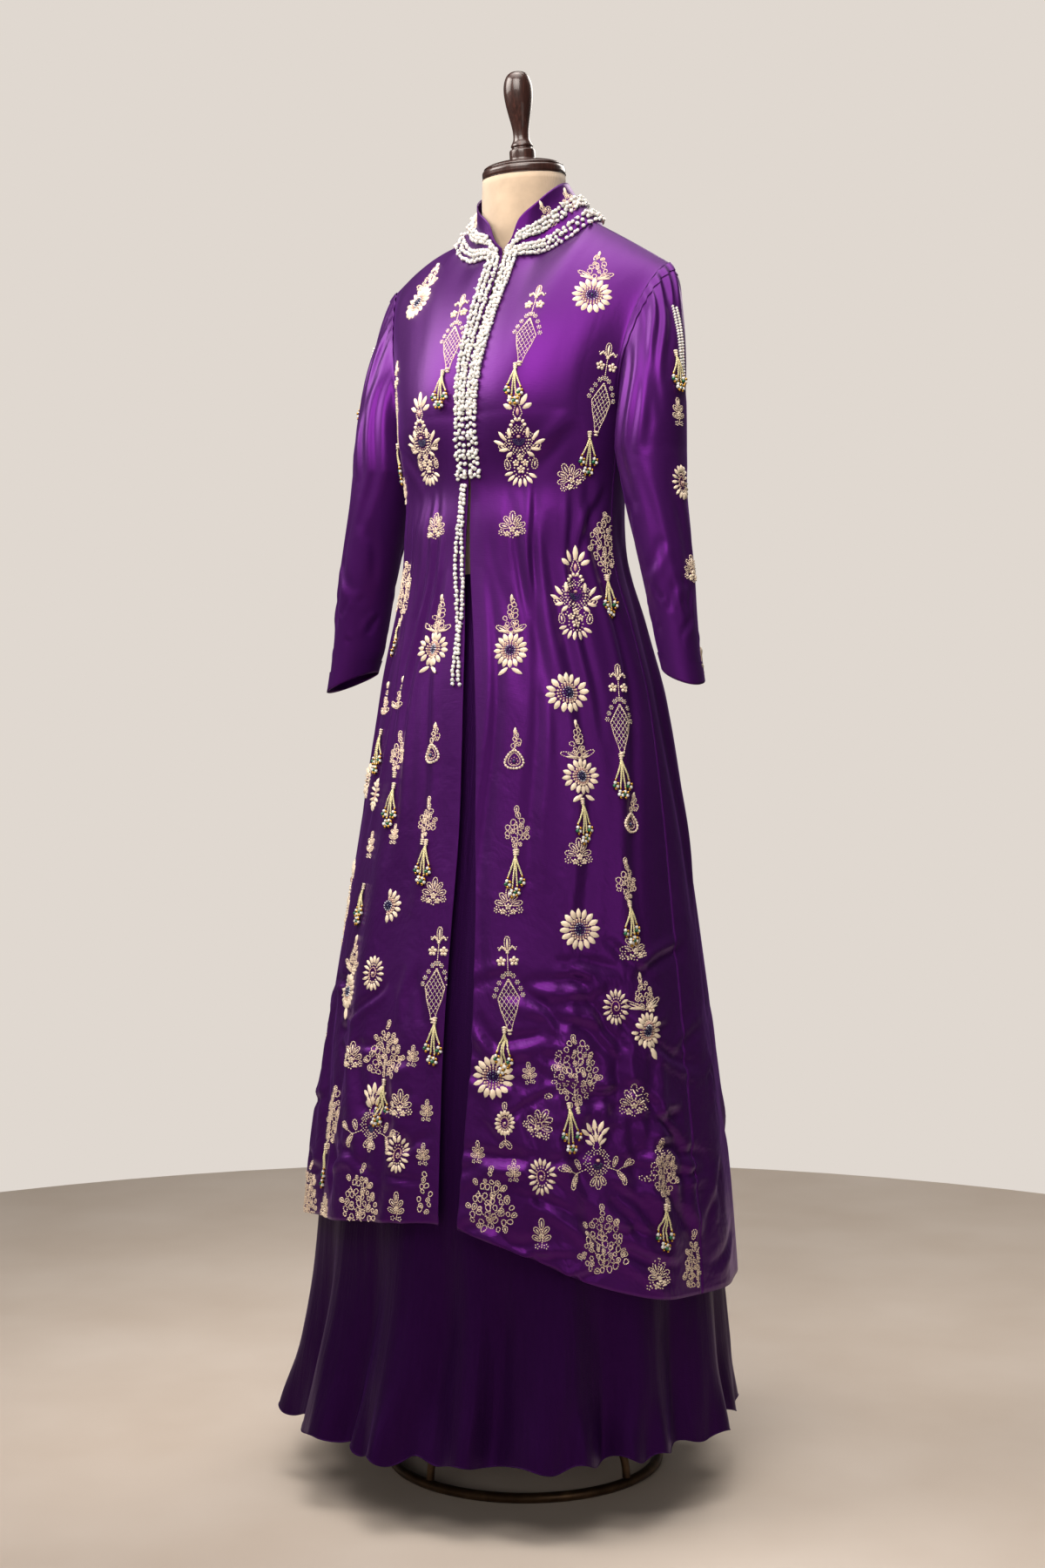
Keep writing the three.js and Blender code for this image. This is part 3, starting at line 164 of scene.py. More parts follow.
# Creases pressed into the satin: each runs from one angle and height to another.
JACKET_CREASES = table(
    "from_angle from_z to_angle to_z width depth",
    (20, 1120, 25, 560, 11, 4), (38, 1210, 40, 700, 12, 4.5), (47, 1225, 45, 880, 10, 3.4),
    (57, 1190, 56, 640, 13, 4.5), (66, 1230, 63, 900, 9, 3.6), (77, 1240, 76, 620, 12, 5),
    (84, 1220, 66, 1120, 9, 3), (70, 1290, 45, 1235, 14, 3), (26, 640, 35, 400, 9, 3.2),
    (34, 560, 44, 330, 10, 4), (47, 640, 41, 420, 8, 3), (46, 470, 60, 300, 9, 4.5),
    (58, 560, 50, 380, 8, 3.6), (63, 500, 74, 300, 10, 5), (68, 610, 60, 440, 8, 3.6),
    (76, 560, 66, 370, 9, 4.4), (80, 470, 86, 300, 9, 4.4), (33, 395, 47, 372, 6, 2.4),
    (56, 352, 73, 330, 6, 3), (60, 420, 80, 372, 7, 3.2), (24, 470, 33, 440, 6, 2.2),
    (-14, 1120, -7, 700, 11, 3.4), (-24, 1180, -23, 760, 11, 4.2), (-34, 1220, -33, 900, 12, 4.2),
    (-46, 1220, -42, 780, 11, 4.2), (-58, 1225, -54, 650, 13, 4.6), (-70, 1230, -66, 820, 11, 4),
    (-66, 1290, -40, 1240, 14, 3), (-12, 560, -4, 370, 9, 3.6), (-5, 470, 6, 420, 6, 2.4),
    (-22, 600, -12, 400, 9, 3.8), (-34, 560, -24, 350, 10, 4.2), (-46, 610, -38, 380, 9, 4),
    (-58, 520, -50, 340, 10, 4.2), (-72, 600, -62, 360, 10, 4.4), (-24, 430, -6, 392, 6, 2.6),
    (-50, 400, -36, 372, 7, 2.8), (98, 1180, 100, 640, 14, 5), (112, 1130, 110, 500, 13, 4.6),
    (128, 1200, 126, 700, 14, 4.6), (141, 1120, 144, 420, 13, 5.2),
    (157, 1190, 158, 640, 13, 4.4), (168, 1130, 166, 380, 12, 4.6), (-98, 1180, -101, 600, 14, 5),
    (-114, 1140, -111, 430, 13, 4.6), (-129, 1210, -128, 720, 14, 4.4),
    (-143, 1130, -146, 380, 13, 5), (-158, 1200, -157, 700, 13, 4.4),
    (-171, 1120, -173, 420, 12, 4.4), (100, 1290, 124, 1236, 13, 2.8),
    (-100, 1290, -124, 1236, 13, 2.8), (112, 470, 130, 340, 10, 4), (150, 430, 138, 300, 9, 3.6),
    (-112, 470, -130, 350, 10, 4), (-150, 440, -140, 310, 9, 3.6), (172, 520, -176, 340, 10, 3.6))
SLEEVE_CREASES = table(
    "from_angle from_z to_angle to_z width depth",
    (20, 1490, 26, 1330, 7, 4), (38, 1480, 44, 1290, 7, 4.6), (56, 1468, 62, 1250, 8, 4.6),
    (76, 1452, 84, 1230, 8, 4), (98, 1425, 110, 1180, 9, 4.4), (-22, 1490, -28, 1320, 7, 3.8),
    (-44, 1478, -50, 1270, 8, 4.4), (-68, 1460, -74, 1240, 8, 4.2),
    (-94, 1425, -104, 1190, 9, 4.2), (60, 1150, 130, 1105, 8, 3.4), (44, 1112, 100, 1062, 7, 3.2),
    (30, 1062, 84, 1030, 6, 2.6), (120, 1200, 168, 1120, 9, 3.4), (-60, 1150, -130, 1110, 8, 3.2),
    (-40, 1100, -100, 1062, 7, 2.8), (20, 1250, 22, 1080, 10, 2.6), (80, 1240, 76, 1040, 9, 2.6),
    (-30, 1240, -26, 1060, 10, 2.6))
SKIRT_TROUGHS = table(
    "angle depth width",
    (-176, 9, 5), (-130, 10, 5), (-106, 8, 4), (-80, 9, 5), (-56, 8, 4), (-34, 9, 4),
    (-11, 10, 4), (14, 13, 4.5), (29, 15, 4.5), (58, 8, 5), (82, 9, 4), (107, 10, 5),
    (133, 9, 5), (157, 10, 5))


def ease(low, high, value):
    t = np.clip((value - low) / (high - low), 0, 1)
    return t * t * (3 - 2 * t)


def mix(a, b, t):
    return a + (b - a) * t


def cos_sin(turn):
    """Cosine and sine of a turn in degrees."""
    return math.cos(math.radians(turn)), math.sin(math.radians(turn))


def bell(offset, width):
    return np.exp(-((offset / width) ** 2))


def turn_between(start, end):
    """Shortest turn from one angle to another, in degrees."""
    return (end - start + 180) % 360 - 180


def along(rows, at, column):
    """A column of a table at values of its first column, eased through the neighbouring rows."""
    x, y = next(iter(rows.values())), rows[column]
    padded_x, padded_y = np.r_[x[0], x, x[-1]], np.r_[y[0], y, y[-1]]
    slope = (padded_y[2:] - padded_y[:-2]) / (padded_x[2:] - padded_x[:-2])
    at = np.clip(at, x[0], x[-1])
    i = np.clip(np.searchsorted(x, at) - 1, 0, len(x) - 2)
    span = x[i + 1] - x[i]
    t = (at - x[i]) / span
    return (y[i] * (2 * t**3 - 3 * t**2 + 1) + slope[i] * span * (t**3 - 2 * t**2 + t)
            + y[i + 1] * (3 * t**2 - 2 * t**3) + slope[i + 1] * span * (t**3 - t**2))


def bezier(a, b, c, d, t):
    s = 1 - t
    return a * s**3 + 3 * b * s * s * t + 3 * c * s * t * t + d * t**3


def section_point(sections, angle, z, extra=0.0):
    """Points of an oval section, pushed outwards by extra millimetres."""
    turn = np.radians(angle)
    sine, cosine = np.sin(turn), np.cos(turn)
    centre = along(sections, z, "centre")
    depth = np.where(cosine > 0, along(sections, z, "front") + centre,
                     along(sections, z, "back") - centre)
    radius = 1 / np.hypot(sine / along(sections, z, "side"), cosine / depth) + extra
    return np.stack([radius * sine, centre - radius * cosine, z + 0 * radius], -1)


def crumples(seed, count, angles, heights, slant, lengths, widths, depths):
    """Short creases strewn over a patch of cloth, from ranges of place, slant and size."""
    luck = np.random.default_rng(seed)
    angle, z = luck.uniform(*angles, count), luck.uniform(*heights, count)
    lean = np.radians(luck.uniform(*slant, count))
    half = luck.uniform(*lengths, count) / 2
    swing, fall = half * np.sin(lean) / MM_PER_DEGREE, half * np.cos(lean)
    return {"from_angle": angle - swing, "from_z": z + fall, "to_angle": angle + swing,
            "to_z": z - fall, "width": luck.uniform(*widths, count),
            "depth": luck.uniform(*depths, count)}


def with_more(rows, *others):
    """One table from several that have the same columns."""
    return {name: np.concatenate([rows[name], *(other[name] for other in others)])
            for name in rows}


JACKET_CREASES = with_more(
    JACKET_CREASES,
    crumples(3, 60, (20, 88), (285, 660), (30, 115), (35, 120), (5, 10), (2.8, 5.8)),
    crumples(4, 30, (-66, 4), (335, 620), (-100, 30), (35, 90), (5, 9), (2.2, 4.4)),
    crumples(5, 40, (92, 268), (290, 620), (-70, 70), (35, 110), (5, 10), (1.6, 3.8)),
    crumples(6, 18, (-88, 88), (1010, 1235), (-20, 20), (70, 170), (9, 14), (0.4, 1.1)),
    crumples(7, 16, (95, 265), (1010, 1235), (-20, 20), (70, 170), (9, 14), (0.6, 1.7)))
SLEEVE_CREASES = with_more(
    SLEEVE_CREASES,
    crumples(8, 30, (-180, 180), (1030, 1180), (50, 120), (30, 70), (4, 7), (1.2, 2.8)))


def crease_relief(creases, angle, z, radius):
    """Soft troughs, each with a lower ridge on one side, along lines on the cloth."""
    relief = 0 * (angle + z)
    for k, (start_angle, start_z, end_angle, end_z, width, depth) in enumerate(
            zip(*creases.values())):
        run = math.radians(turn_between(start_angle, end_angle)) * radius
        fall = end_z - start_z
        length = math.hypot(run, fall)
        across = np.radians(turn_between(start_angle, angle)) * radius
        down = z - start_z
        share = (across * run + down * fall) / length**2
        aside = (across * fall - down * run) / length
        aside = aside + length * 0.02 * np.sin(share * 7 + k)
        fade = np.sin(np.pi * np.clip(share, 0, 1)) ** 0.7
        side = 1.5 * width * (1 if k % 2 else -1)
        relief = relief - depth * fade * (bell(aside, width * 0.8)
                                          - 0.7 * bell(aside - side, width * 0.8))
    return 8 * np.tanh(relief / 8)


def jacket_relief(angle, z):
    """Height of the jacket's flares, bust and creases at a place on it."""
    relief = 0 * (angle + z)
    for middle, lean, start, depth, width in zip(*JACKET_FOLDS.values()):
        growth = ease(0, start - 300, start - z)
        offset = turn_between(middle + lean * growth, angle)
        relief = relief + depth * growth * bell(offset, width)
    relief = relief - FOLD_TROUGH * ease(0, 700, 1180 - z)
    # The bust fills the cloth out, and the cut takes it in below.
    beside = np.abs(turn_between(0, angle)) - 36
    relief = relief + 11 * bell(beside, 26) * bell(z - 1312, 44)
    relief = relief - 10 * bell(beside, 32) * bell(z - 1228, 38)
    return relief + crease_relief(JACKET_CREASES, angle, z, JACKET_RADIUS)


def jacket_point(angle, z):
    return section_point(JACKET_SECTIONS, angle, z, jacket_relief(angle, z))


def angle_of(length, z):
    """The angle that a length along the cloth spans in front at a height."""
    return np.degrees(length / along(JACKET_SECTIONS, z, "front"))


def opening_edge(side, z):
    middle = along(OPENING, z, "angle")
    return middle + side * angle_of(along(OPENING, z, "gap") / 2, z)


def front_angle(side, column, z):
    """Angle of a front's column: 0 to 2 is the pearl band, 14 is the side seam."""
    edge, trim = opening_edge(side, z), angle_of(BAND_WIDTH, z)
    seam = side * (SIDE_SEAM_ANGLE - angle_of(0.15, z))
    share = np.interp(column, np.arange(2, 15), FRONT_SHARES)
    return np.where(column < 2, edge + side * trim * column / 2,
                    mix(edge + side * trim, seam, share))


def neck_point(rows, angle):
    """A point of the neckline or the collar's edge; both turn a little with the opening."""
    spread = np.abs(angle)
    turn = np.radians(angle + 8 * np.maximum(0, np.cos(np.radians(angle))) ** 2)
    radius = along(rows, spread, "radius")
    return np.stack([radius * np.sin(turn), -radius * np.cos(turn), along(rows, spread, "z")], -1)


def shoulder_point(side, share, back=0.0):
    """A point of the shoulder seam, from the neck to the tip."""
    neck = neck_point(NECKLINE, np.array(90.0 * side))
    point = mix(neck, SHOULDER_TIPS[side], share[..., None])
    point[..., 1] += back
    point[..., 2] += (1 if side > 0 else 7) * np.sin(np.pi * share)
    return point


def evened(points, reach=12):
    """A row of points with its kinks evened out, more towards the middle than at the ends."""
    kernel = np.hanning(2 * reach + 1)
    padded = np.concatenate([np.repeat(points[:1], reach, 0), points,
                             np.repeat(points[-1:], reach, 0)])
    even = np.stack([np.convolve(padded[:, axis], kernel / kernel.sum(), "valid")
                     for axis in range(3)], -1)
    share = np.linspace(0, 1, len(points))[:, None]
    return mix(points, even, ease(0, 0.16, share) * ease(0, 0.16, 1 - share))


def front_rows(side, across=134, lower=246, yoke=70):
    """The grid of a jacket front, from hem to neckline and shoulder."""
    column = np.linspace(0, 14, across)[None]
    rise = np.linspace(0, 1, lower)[:, None]
    guess = front_angle(side, column, mix(300, UNDERARM_Z, rise))
    z = mix(along(JACKET_HEM, turn_between(0, guess), "z"), UNDERARM_Z, rise)
    lower_rows = jacket_point(front_angle(side, column, z), z)
    low = lower_rows[-1]
    column, share = column[0], column[0] / 14
    neck = np.interp(column, range(7), FRONT_NECK) + 1.4 * np.clip(1 - column / 6, 0, 1)
    top = np.where(column[:, None] <= 6, neck_point(NECKLINE, side * neck),
                   shoulder_point(side, np.clip((column - 6) / 8, 0, 1)))
    third = (top[:, 2] - low[:, 2]) / 3
    slope = np.where(share < 0.4, mix(0.35, 0.8, share / 0.4), 0.8)
    lead = low + np.stack([side * 4 * share, -6 * (1 - share), third], -1)
    over = top + np.stack([side * 3 + 0 * share, -62 * slope, -third * (1.25 - slope)], -1)
    near = ease(11.6, 14, column)[:, None] ** 1.3
    lead = mix(lead, ARMHOLE_FRONT[0] * [side, 1, 1], near)
    over = mix(over, ARMHOLE_FRONT[1] * [side, 1, 1], near)
    t = np.linspace(0, 1, yoke + 1)[1:, None, None]
    yoke_rows = bezier(low, evened(lead), evened(over), mix(evened(top), top, t**6), t)
    return np.concatenate([lower_rows, yoke_rows])


def back_rows(across=150, lower=170, yoke=70):
    """The grid of the jacket's back, from the wearer's left side seam round to the right."""
    column = np.linspace(0, 20, across)[None]
    rise = np.linspace(0, 1, lower)[:, None]
    seam = SIDE_SEAM_ANGLE + 0.1
    angle = mix(seam, 360 - seam, column / 20)
    z = mix(along(JACKET_HEM, turn_between(0, angle), "z"), UNDERARM_Z, rise)
    lower_rows = jacket_point(angle, z)
    low = lower_rows[-1]
    column = column[0]
    side = np.where(column <= 10, 1.0, -1.0)
    mirror = np.stack([side, np.ones_like(side), np.ones_like(side)], -1)
    inward = np.minimum(column, 20 - column)
    middle = inward / 10
    neck = neck_point(NECKLINE, np.clip(90 + 18 * (inward - 5), 90, 180)) * mirror
    share = np.clip(1 - inward / 5, 0, 1)
    seam_line = np.where(side[:, None] > 0, shoulder_point(1, share, 0.2),
                         shoulder_point(-1, share, 0.2))
    top = np.where(inward[:, None] > 5, neck, seam_line)
    third = (top[:, 2] - low[:, 2]) / 3
    lead = low + np.stack([0 * middle, 8 + 10 * middle, third], -1)
    over = np.stack([top[:, 0] + 3 * side * (1 - middle), 62 + 24 * ease(0.5, 1, middle),
                     top[:, 2] - third * (0.4 + 0.5 * middle)], -1)
    near = (1 - ease(0, 2.2, inward))[:, None] ** 1.3
    lead = mix(lead, ARMHOLE_BACK[0] * mirror, near)
    over = mix(over, ARMHOLE_BACK[1] * mirror, near)
    t = np.linspace(0, 1, yoke + 1)[1:, None, None]
    yoke_rows = bezier(low, evened(lead), evened(over), mix(evened(top), top, t**6), t)
    return np.concatenate([lower_rows, yoke_rows])


def sleeve_point(side, z, turn):
    """Points of a sleeve below its head; the cuff dips a little at the back."""
    part = {name: along(SLEEVE_SECTIONS, z, name) for name in ("x", "y", "out", "fore", "turn")}
    out = part["out"] * np.cos(np.radians(turn))
    fore = -part["fore"] * np.sin(np.radians(turn))
    c, s = np.cos(np.radians(part["turn"])), np.sin(np.radians(part["turn"]))
    dip = 14 * np.cos(np.radians(turn - 60)) * ease(CUFF_Z + 50, CUFF_Z, z)
    return np.stack([side * (part["x"] + out * c - fore * s), part["y"] + out * s + fore * c,
                     z - dip], -1)


def sleeve_rows(side, around=132, head=60, arm=90):
    """The grid of a sleeve from its armhole seam to the cuff, starting at the shoulder tip."""
    turn = np.linspace(0, 360, around, endpoint=False)
    share = np.abs(1 - turn / 180)[:, None]
    corner = jacket_point(np.array(side * float(SIDE_SEAM_ANGLE)), np.array(float(UNDERARM_Z)))
    mirror = np.array([side, 1, 1])
    tip = SHOULDER_TIPS[side]
    front = bezier(corner, ARMHOLE_FRONT[0] * mirror, ARMHOLE_FRONT[1] * mirror, tip, share)
    back = bezier(corner, ARMHOLE_BACK[0] * mirror, ARMHOLE_BACK[1] * mirror, tip, share)
    start = np.where(turn[:, None] <= 180, front, back) + [side * 0.5, 0, 0]
    end = sleeve_point(side, np.full(around, float(SLEEVE_HEAD_Z)), turn)
    drop = (start - end)[:, 2:]
    lead = start + drop * [side * 0.1, 0, -0.08]
    over = end + drop * [0, 0, 0.5]
    t = np.linspace(0, 1, head)[:, None, None]
    top = bezier(start, lead, over, end, t)
    cap = bell(turn_between(0, turn), 66) * bell(t[:, :, 0] - 0.16, 0.22)
    top[:, :, 0] += side * 2.4 * cap * np.sin(np.radians(turn) * 26 + np.sin(turn / 9))
    z = np.linspace(SLEEVE_HEAD_Z, CUFF_Z, arm + 1)[1:, None]
    rows = np.concatenate([top, sleeve_point(side, z, turn[None])])
    pressed = crease_relief(SLEEVE_CREASES, turn_between(0, turn)[None], rows[..., 2],
                            SLEEVE_RADIUS)
    pressed *= 0.6 * ease(0, 0.12, np.linspace(0, 1, len(rows)))[:, None]
    return rows + normals_of(rows, True, side) * pressed[..., None]


def collar_rows(across=180, up=22):
    """The collar's grid from the wearer's left front end round the back to the right."""
    half = np.linspace(1.4, 180, across // 2)
    angle = np.concatenate([half, -half[-2::-1]])
    t = np.linspace(0, 1, up)[:, None, None]
    low, high = neck_point(NECKLINE, angle), neck_point(COLLAR_EDGE, angle)
    point = mix(low + (high - low) * 0.006, high, t)
    flat = point * [1, 1, 0]
    flat /= np.linalg.norm(flat, axis=-1, keepdims=True)
    bow = 4 * np.sin(np.pi * t) * ease(20, 80, np.abs(angle))[None, :, None]
    return point - flat * bow


def skirt_folds(angle, z):
    """Height of the skirt's deep folds at a place on it."""
    spread = ease(0, 1, (FLARE_START_Z - z) / FLARE_REACH)
    relief = 0 * (angle + z)
    for middle, depth, width in zip(*SKIRT_FLUTES.values()):
        relief = relief + depth * bell(turn_between(middle, angle), width)
    relief = (relief - 5) * (0.22 * ease(0, 90, SKIRT_TOP_Z - z) + 1.35 * spread)
    for k, (middle, depth, width) in enumerate(zip(*SKIRT_TROUGHS.values())):
        offset = turn_between(middle, angle + 1.5 * np.sin(z / 60 + k))
        relief = relief - 1.3 * depth * spread * bell(offset, width)
    return relief


def skirt_point(angle, z):
    """Points of the skirt, with its fine gathers and its wavy hem."""
    spread = ease(0, 1, (FLARE_START_Z - z) / FLARE_REACH)
    turn = np.radians(angle)
    wave = turn * 30 + 1.3 * np.sin(turn * 5)
    relief = skirt_folds(angle, z)
    gathers = np.sin(turn * 71 + 2 * np.sin(turn * 3)) + 0.6 * np.sin(turn * 113 + z / 90)
    relief = relief + 0.3 * gathers * (0.3 + 0.7 * spread)
    near_hem = ease(0, 1, (170 - z) / 90)
    flick = 1 + 0.35 * np.sin(turn * 7 + 1)
    point = section_point(SKIRT_SECTIONS, angle, z, relief + 6 * flick * near_hem * np.sin(wave))
    point[..., 2] += 4 * flick * ease(0, 1, (150 - z) / 60) * np.sin(wave + 1.2)
    return point


def normals_of(rows, closed, facing):
    """Direction of a grid's surface at each point, away from the wearer."""
    rise = np.gradient(rows, axis=0)
    if closed:
        across = (np.roll(rows, -1, 1) - np.roll(rows, 1, 1)) / 2
    else:
        across = np.gradient(rows, axis=1)
    normal = np.cross(across, rise) * facing
    return normal / np.maximum(np.linalg.norm(normal, axis=-1, keepdims=True), 1e-9)


# ------------------------------------------------------------------ meshes from arrays
SURFACES = {}


def put_in_scene(name, data):
    item = bpy.data.objects.new(name, data)
    bpy.context.scene.collection.objects.link(item)
    return item


def new_piece(name, points, faces, materials, finish=None, uv=None, smooth=True):
    """A mesh object from points in millimetres round the pole's axis."""
    mesh = bpy.data.meshes.new(name)
    faces = faces if isinstance(faces, list) else faces.tolist()
    mesh.from_pydata(((points + POLE_AXIS) / 1000).tolist(), [], faces)
    for item in materials:
        mesh.materials.append(item)
    if finish is not None:
        mesh.polygons.foreach_set("material_index", np.asarray(finish, np.int32))
    if uv is not None:
        layer = mesh.uv_layers.new(name="ThreadLines")
        corner = np.empty(len(mesh.loops), np.int32)
        mesh.loops.foreach_get("vertex_index", corner)
        layer.data.foreach_set("uv", uv[corner].astype(np.float32).ravel())
    mesh.polygons.foreach_set("use_smooth", np.full(len(mesh.polygons), smooth))
    mesh.update()
    piece = put_in_scene(name, mesh)
    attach(piece, "root")
    return piece


def grid_faces(rows, columns, closed):
    """Four-sided faces between the points of a grid, closed round if it is a tube."""
    i, j = np.meshgrid(np.arange(rows - 1), np.arange(columns if closed else columns - 1),
                       indexing="ij")
    right = (j + 1) % columns
    return np.stack([i * columns + j, i * columns + right, (i + 1) * columns + right,
                     (i + 1) * columns + j], -1).reshape(-1, 4)


def cloth(name, rows, closed, facing, thickness, finish, turned_in=0):
    """A thin shell of cloth behind a grid, whole or only where its edges are turned in.
    Its UV map is its cut across and up in metres, 0 at the top."""
    count_rows, columns = rows.shape[:2]
    normals = normals_of(rows, closed, facing)
    outer = rows.reshape(-1, 3)
    faces = grid_faces(count_rows, columns, closed)
    if facing < 0:
        faces = faces[:, ::-1]
    up = np.linalg.norm(np.diff(rows, axis=0), axis=-1).mean(1)
    across = np.linalg.norm(np.diff(rows, axis=1), axis=-1).mean(0)
    u, v = np.meshgrid(np.r_[0, np.cumsum(across)], np.r_[0, np.cumsum(up)] - up.sum())
    uv = np.stack([u, v], -1).reshape(-1, 2) / 1000
    SURFACES[name] = BVHTree.FromPolygons(outer.tolist(), faces.tolist())
    if thickness:
        inner = (rows - normals * thickness).reshape(-1, 3)
        back = faces[:, ::-1] + len(outer)
        if turned_in:
            i, j = np.divmod(np.arange(len(faces)), columns if closed else columns - 1)
            from_edge = np.minimum(i, count_rows - 2 - i)
            if not closed:
                from_edge = np.minimum(from_edge, np.minimum(j, columns - 2 - j))
            back = back[from_edge < turned_in]
        edges = [np.arange(columns), np.arange(columns)[::-1] + (count_rows - 1) * columns]
        if closed:
            edges = [np.r_[edge, edge[0]] for edge in edges]
        else:
            side = np.arange(count_rows) * columns
            edges += [side[::-1], side + columns - 1]
        rims = [np.stack([edge[1:], edge[:-1], edge[:-1] + len(outer), edge[1:] + len(outer)], -1)
                for edge in edges]
        if facing < 0:
            rims = [rim[:, ::-1] for rim in rims]
        faces = np.concatenate([faces, back, *rims])
        used, faces = np.unique(faces, return_inverse=True)
        faces = faces.reshape(-1, 4)
        outer, uv = np.concatenate([outer, inner])[used], np.concatenate([uv, uv])[used]
    return new_piece(name, outer, faces, [finish], uv=uv)


def petal_shape():
    """A unit petal with pointed ends and a ridge, its long axis X and its height Z."""
    stations = np.array([-0.6, 0.05, 0.62])
    points = [[-1, 0, -0.1]]
    for x in stations:
        half = (1 - x * x) ** 0.75
        points += [[x, -half, -0.15], [x, 0, 0.45 + 0.55 * (1 - x * x)], [x, half, -0.15]]
    points.append([1, 0, 0.1])
    faces = [[0, 1, 2], [0, 2, 3]]
    for k in range(2):
        a, b = 1 + 3 * k, 4 + 3 * k
        faces += [[a, b, b + 1], [a, b + 1, a + 1], [a + 1, b + 1, b + 2], [a + 1, b + 2, a + 2]]
    faces += [[7, 10, 8], [8, 10, 9]]
    return np.array(points, float), np.array(faces)


def bead_shape(around, rings, whole=False):
    """A unit dome, or a whole ball, whose long axis is X and whose height is Z."""
    lowest = -90 if whole else -12
    levels = np.radians(np.linspace(lowest, 90, rings + (3 if whole else 1)))
    levels = levels[1:-1] if whole else levels[:-1]
    turn = np.linspace(0, 2 * np.pi, around, endpoint=False)
    ring = [np.stack([np.cos(turn) * np.cos(v), np.sin(turn) * np.cos(v),
                      np.full(around, np.sin(v))], -1) for v in levels]
    points = np.concatenate(ring + [[[0, 0, 1.0]]])
    quads = grid_faces(len(levels), around, True)
    faces = np.concatenate([quads[:, [0, 1, 2]], quads[:, [0, 2, 3]]])
    last = (len(levels) - 1) * around
    cap = [[last + k, last + (k + 1) % around, len(points) - 1] for k in range(around)]
    faces = np.concatenate([faces, cap]) if len(faces) else np.array(cap)
    if whole:
        points = np.concatenate([points, [[0, 0, -1.0]]])
        base = [[(k + 1) % around, k, len(points) - 1] for k in range(around)]
        faces = np.concatenate([faces, base])
    return points, faces


def scatter(shape, places, axes, sizes):
    """Copies of a shape at places, each turned by its own axes and scaled by its own sizes."""
    points, faces = shape
    scaled = points[None] * sizes[:, None, :]
    turned = np.einsum("nkc,ncd->nkd", scaled, axes) + places[:, None, :]
    shift = (np.arange(len(places)) * len(points))[:, None, None]
    return turned.reshape(-1, 3), (faces[None] + shift).reshape(-1, 3)


def tube(path, radius, around):
    """A round tube along a path of points."""
    path = np.asarray(path, float)
    ahead = np.gradient(path, axis=0)
    ahead /= np.linalg.norm(ahead, axis=1, keepdims=True)
    guide = np.where(np.abs(ahead[:, 2:]) > 0.9, [[1.0, 0, 0]], [[0, 0, 1.0]])
    side = np.cross(ahead, guide)
    side /= np.linalg.norm(side, axis=1, keepdims=True)
    over = np.cross(side, ahead)
    turn = np.linspace(0, 2 * np.pi, around, endpoint=False)[None, :, None]
    radius = np.broadcast_to(radius, len(path))[:, None, None]
    rows = path[:, None] + radius * (side[:, None] * np.cos(turn) + over[:, None] * np.sin(turn))
    return rows.reshape(-1, 3), grid_faces(len(path), around, True)


def turned(profile, around):
    """A piece turned on a lathe from a profile of radius and height."""
    profile = np.asarray(profile, float)
    turn = np.linspace(0, 2 * np.pi, around, endpoint=False)
    rows = np.stack([profile[:, :1] * np.cos(turn), profile[:, :1] * np.sin(turn),
                     profile[:, 1:] + 0 * turn], -1)
    return rows.reshape(-1, 3), grid_faces(len(profile), around, True)


def gather(parts):
    """Several point and face arrays as one."""
    starts = np.cumsum([0] + [len(points) for points, _ in parts[:-1]])
    return (np.concatenate([points for points, _ in parts]),
            np.concatenate([faces + start for (_, faces), start in zip(parts, starts)]))


# ------------------------------------------------------------------ materials
def linear(code):
    """An sRGB hex colour as linear values."""
    parts = [int(code[k:k + 2], 16) / 255 for k in (1, 3, 5)]
    return tuple(p / 12.92 if p <= 0.04045 else ((p + 0.055) / 1.055) ** 2.4
                 for p in parts) + (1.0,)


def add_node(tree, kind, settings=None, links=None, to=None):
    """Adds a node, sets its sockets, properties or colour stops and links its inputs.
    A node as the source gives its first output; the new node's own goes to the socket in to."""
    node = tree.nodes.new(kind)
    for key, value in (settings or {}).items():
        if key == "stops":
            elements = node.color_ramp.elements
            while len(elements) < len(value):
                elements.new(0.5)
            for element, (position, colour) in zip(elements, value):
                element.position = position
                element.color = colour
        elif isinstance(key, int) or key in node.inputs:
            node.inputs[key].default_value = value
        else:
            setattr(node, key, value)
    for key, source in (links or {}).items():
        tree.links.new(getattr(source, "outputs", [source])[0], node.inputs[key])
    if to:
        tree.links.new(node.outputs[0], to)
    return node


def start_material(name, base, settings, coordinates="Object"):
    """A material with its tree, the sockets of its Principled shader and a place to map by."""
    material = bpy.data.materials.new(name)
    material.use_nodes = True
    tree = material.node_tree
    sockets = tree.nodes["Principled BSDF"].inputs
    sockets["Base Color"].default_value = base
    for key, value in settings.items():
        sockets[key].default_value = value
    place = add_node(tree, "ShaderNodeTexCoord").outputs[coordinates]
    return material, tree, sockets, place


def shades(colour, *stops):
    """Colour stops that darken or lighten one colour, from positions and factors."""
    return {"stops": [(at, tuple(min(1.0, part * factor) for part in colour[:3]) + (1.0,))
                      for at, factor in stops]}


